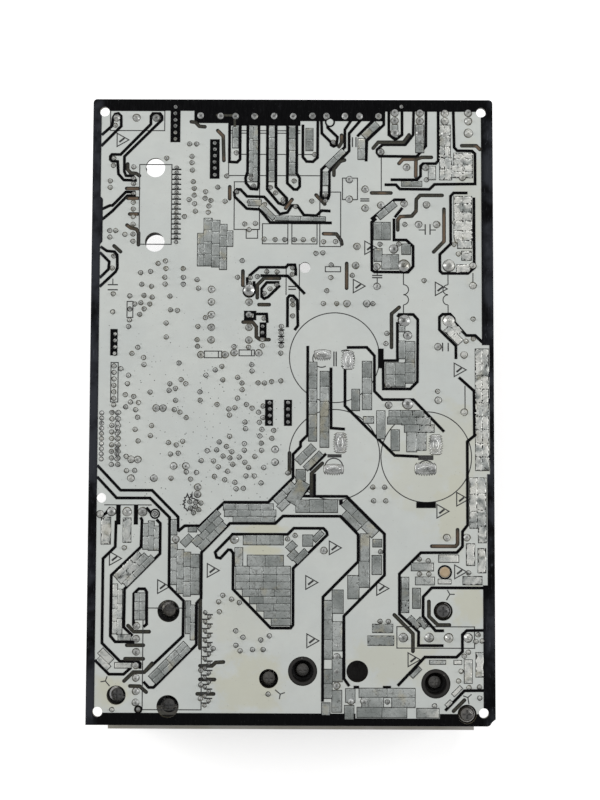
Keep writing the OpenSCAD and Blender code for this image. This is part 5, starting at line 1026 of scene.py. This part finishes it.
# %% Windings
low, high = (np.array(v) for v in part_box("choke_windings"))
centre = (low + high) / 2
TURN_STEPS = 36
wire_r = 0.75 * MM
r_in, r_out = 4.0 * MM + wire_r, 12.0 * MM - wire_r
shapes = []
for side in (0, 180):
    for i in range(7):
        a = math.radians(side + (i - 3) * 21)
        t = circle(TURN_STEPS)
        along = (r_out + r_in) / 2 + (r_out - r_in) / 2 * soft_wave(np.cos(t), 0.34)
        lift = centre[2] + ((high[2] - low[2]) / 2 - wire_r) * soft_wave(np.sin(t), 0.34)
        swing = a + 0.05 * np.sin(t)
        path = np.c_[centre[0] + along * np.cos(swing), centre[1] + along * np.sin(swing), lift]
        ahead = np.roll(path, -1, 0) - np.roll(path, 1, 0)
        ahead /= np.linalg.norm(ahead, axis=1)[:, None]
        across = np.array([-math.sin(a), math.cos(a), 0.0])
        third = np.cross(ahead, across)
        third /= np.linalg.norm(third, axis=1)[:, None]
        loops = [path + wire_r * (math.cos(b) * across + math.sin(b) * third) for b in circle(10)]
        # the last loop is the first one again, so its corners are counted from 0
        verts, faces = rings(loops + [loops[0]], False)
        count = len(verts) - TURN_STEPS
        shapes.append((verts[:count], [[corner % count for corner in face] for face in faces]))
windings = piece("choke_wire", shapes, PLAIN["choke_windings"])
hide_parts("choke_windings")
print("turns", len(shapes))

# %% [markdown]
# ## Capacitor sleeves
# A dark sleeve with one pale stripe of plain dashes down its side; the end of the can is bare
# aluminium inside the sleeve's rim. The stripe is where the angle round the can's axis is small.

# %% Capacitor sleeves
def sleeve(name, centre, radius, tint, stripe_angle):
    """Sleeve of one can: `centre` in metres, `radius` in millimetres, the stripe's angle in radians."""
    mat, shader, place = new_material(name)
    marks = patina_of(place, 10.0, 0.5, 2.5)
    x, y, z = split(vector("SUBTRACT", place, (centre[0] / MM, centre[1] / MM, 0))[0])
    far = calc("SQRT", calc("ADD", times(x, x), times(y, y)))
    ca, sa = math.cos(stripe_angle), math.sin(stripe_angle)
    off = calc("ABSOLUTE", calc("ADD", times(x, -sa), times(y, ca)))
    near = calc("GREATER_THAN", calc("ADD", times(x, ca), times(y, sa)), 0.0)
    stripe = times(ramp(off, radius * 0.2, radius * 0.22, 1, 0), near)
    dash_z = calc("ABSOLUTE", calc("SUBTRACT", calc("FRACT", times(z, 0.1)), 0.5))
    dash = times(ramp(dash_z, 0.2, 0.22, 1, 0),
                 ramp(off, radius * 0.05, radius * 0.06, 1, 0))
    down = calc("LESS_THAN", normal_z(place), -0.5)
    bare = times(down, ramp(far, radius - 2.6, radius - 2.3, 1, 0))
    colour = blend(marks["Blotch"], tint, tuple(c * 1.35 for c in tint))
    colour = blend(stripe, colour, (0.42, 0.43, 0.45))
    colour = blend(times(dash, near), colour, tint)
    colour = blend(times(marks["Speck"], 0.25), colour, (0.4, 0.4, 0.38))
    colour = blend(bare, colour, grey(0.66))
    settle(shader, Base_Color=colour, Metallic=bare,
           Roughness=gloss(marks, 0.24, 0.4))
    bump(shader, marks["Grain"], 0.2, 0.03)
    return mat


CAN_RADIUS = 17.5
for k, node in enumerate(("bulk_capacitor_upper", "bulk_capacitor_lower", "bulk_capacitor_right")):
    low, high = (np.array(v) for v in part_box(node))
    centre = (low + high) / 2
    dress_node(node, sleeve(node + "_sleeve", centre, CAN_RADIUS, (0.022, 0.022, 0.028), 0.9 + 1.7 * k))
# one material serves all the small cans: its radius and angle leave out the stripe and the bare end
SMALL_SLEEVE = sleeve("small_can_sleeve", (-0.0507, 0.0, 0.0), 60.0, (0.02, 0.035, 0.09), 9.0)
dress_node("small_capacitors", SMALL_SLEEVE)
print("sleeves 4")

# %% [markdown]
# ## Heat sink
# Extruded aluminium: fine lines along the fins, slightly yellow oxide, and a few pale scratches.

# %% Heat sink
mat, shader, place = new_material("sink_aluminium")
marks = patina_of(place, 22.0, 0.8, 2.5)
lines = noise(stretched(place, 0.02), 5.0, 3.0, 0.6)
tint = blend(marks["Blotch"], (0.66, 0.64, 0.6), (0.56, 0.53, 0.46))
tint = blend(times(ramp(lines, 0.58, 0.7), 0.35), tint, grey(0.78))
settle(shader, Base_Color=tint, Metallic=0.75, Roughness=ramp(lines, 0.3, 0.7, 0.35, 0.55))
bump(shader, lines, 0.4, 0.05)
dress_node("heatsink", mat)
print("heat sink")

# %% [markdown]
# ## Floor, light and camera
# The floor is pale and lit; a camera ray also sees a little plain white on it, except in a painted
# shadow right under the board, where the white is cut and the base colour is darker. Four round
# painted pools of light lie in that shadow, glowing where a camera ray through a hole meets the
# floor. Three broad lamps and an even world light the board at a plain level.

# %% Floor
# the camera's place and the depth of the floor under the board's top, in millimetres
EYE = Vector((4.9, -37.4, 586.4))
HOLE_DEPTH = 50.0
FLOOR_HALF = 3.0
low, high = cad_box
floor_z = low[2] - 0.1 * MM
corners = [(x * FLOOR_HALF, y * FLOOR_HALF, floor_z) for x, y in ((-1, -1), (1, -1), (1, 1), (-1, 1))]
floor = linked(bpy.data.meshes.new("floor"))
floor.data.from_pydata(corners, [], [(0, 1, 2, 3)])
mat, shader, place = new_material("floor_paint")
paint = blend(patina_of(place, 300.0, 6.0, 40.0)["Blotch"], grey(0.82), grey(0.84))
path = add_node(place, "LightPath").outputs
seen = calc("MAXIMUM", path["Is Camera Ray"],
            calc("MAXIMUM", path["Is Glossy Ray"], path["Is Transmission Ray"]))
# distance from the painted shadow under the board, a rectangle given by its middle and half size in
# millimetres
off = calc("MAXIMUM", *(
    calc("SUBTRACT", calc("ABSOLUTE", calc("SUBTRACT", v, mid)), half)
    for v, mid, half in zip(split(place), (-0.5, 3.0), (76.0, 122.0))))
outside_painted_shadow = ramp(off, -16.0, 5.0)
afar = ramp(off, 100.0, 1200.0, 0.55, 0.8)
# painted pools of light: spots where a camera ray through a round hole, with nothing under it, meets the
# floor
for hole in ((24.8, 217.6), (24.8, 187.9), (5, 87.3), (84, 178)):
    p = Vector((*(hole - HALF), 0.0))
    q = EYE + (p - EYE) * (EYE.z + HOLE_DEPTH) / EYE.z
    gap = vector("DISTANCE", place, (q.x, q.y, -HOLE_DEPTH - 0.1))["Value"]
    outside_painted_shadow = calc("MAXIMUM", outside_painted_shadow, ramp(gap, 4.5, 8.0, 1, 0))
glow = times(times(seen, outside_painted_shadow), afar)
# painted shadow: the base colour is 0.35 grey under the board, and pale elsewhere and in the painted pools of
# light
settle(shader, Base_Color=blend(outside_painted_shadow, grey(0.35), paint), Roughness=0.9,
       Specular_IOR_Level=0.1, Emission_Color=grey(1), Emission_Strength=glow)
dress(floor, mat)
print("floor at", round(floor_z, 4))

# %% Lights
def lamp(name, place, size, power):
    """Rectangular lamp that looks at the middle of the board."""
    data = bpy.data.lights.new(name, "AREA")
    data.shape = "RECTANGLE"
    data.size, data.size_y = size
    data.energy = power
    obj = linked(data)
    obj.location = place
    obj.rotation_euler = (-Vector(place)).to_track_quat("-Z", "Y").to_euler()


lamp("left_softbox", (-1.05, 0.25, 0.75), (0.6, 0.9), 7.0)
lamp("right_softbox", (1.05, 0.1, 0.75), (0.6, 0.9), 6.0)
lamp("top_softbox", (0.0, 1.0, 0.9), (0.9, 0.5), 5.0)
world = bpy.data.worlds.new("studio")
scene = bpy.context.scene
scene.world = world
world.use_nodes = True
back = world.node_tree.nodes["Background"]
path = add_node(back, "LightPath").outputs
lit = calc("MAXIMUM", path["Is Camera Ray"], path["Is Transmission Ray"])
strength = calc("ADD", 0.3, times(lit, 0.7))
settle(back, Color=grey(1), Strength=strength)
scene.view_settings.view_transform = "Standard"

# %% [markdown]
# The camera's place, tilt and focal length were fitted to the four corners of the board as they
# lie in a 600 by 800 frame: f = 1500 pixels, so lens = 1500 * 36 / 800 on a sensor 36 mm high.

# %% Camera
SENSOR, FOCUS_PIXELS, FRAME_PIXELS = 36.0, 1500.0, 800.0
cam_data = bpy.data.cameras.new("camera")
cam_data.sensor_fit = "VERTICAL"
cam_data.sensor_height = SENSOR
cam_data.lens = FOCUS_PIXELS * SENSOR / FRAME_PIXELS
cam_data.clip_start = 0.01
cam = linked(cam_data)
cam.location = (0.004898, -0.037402, 0.586366)
cam.rotation_euler = (0.069368, 0.00261, 0.003548)
scene.camera = cam
print("camera at", tuple(round(v, 3) for v in cam.location))
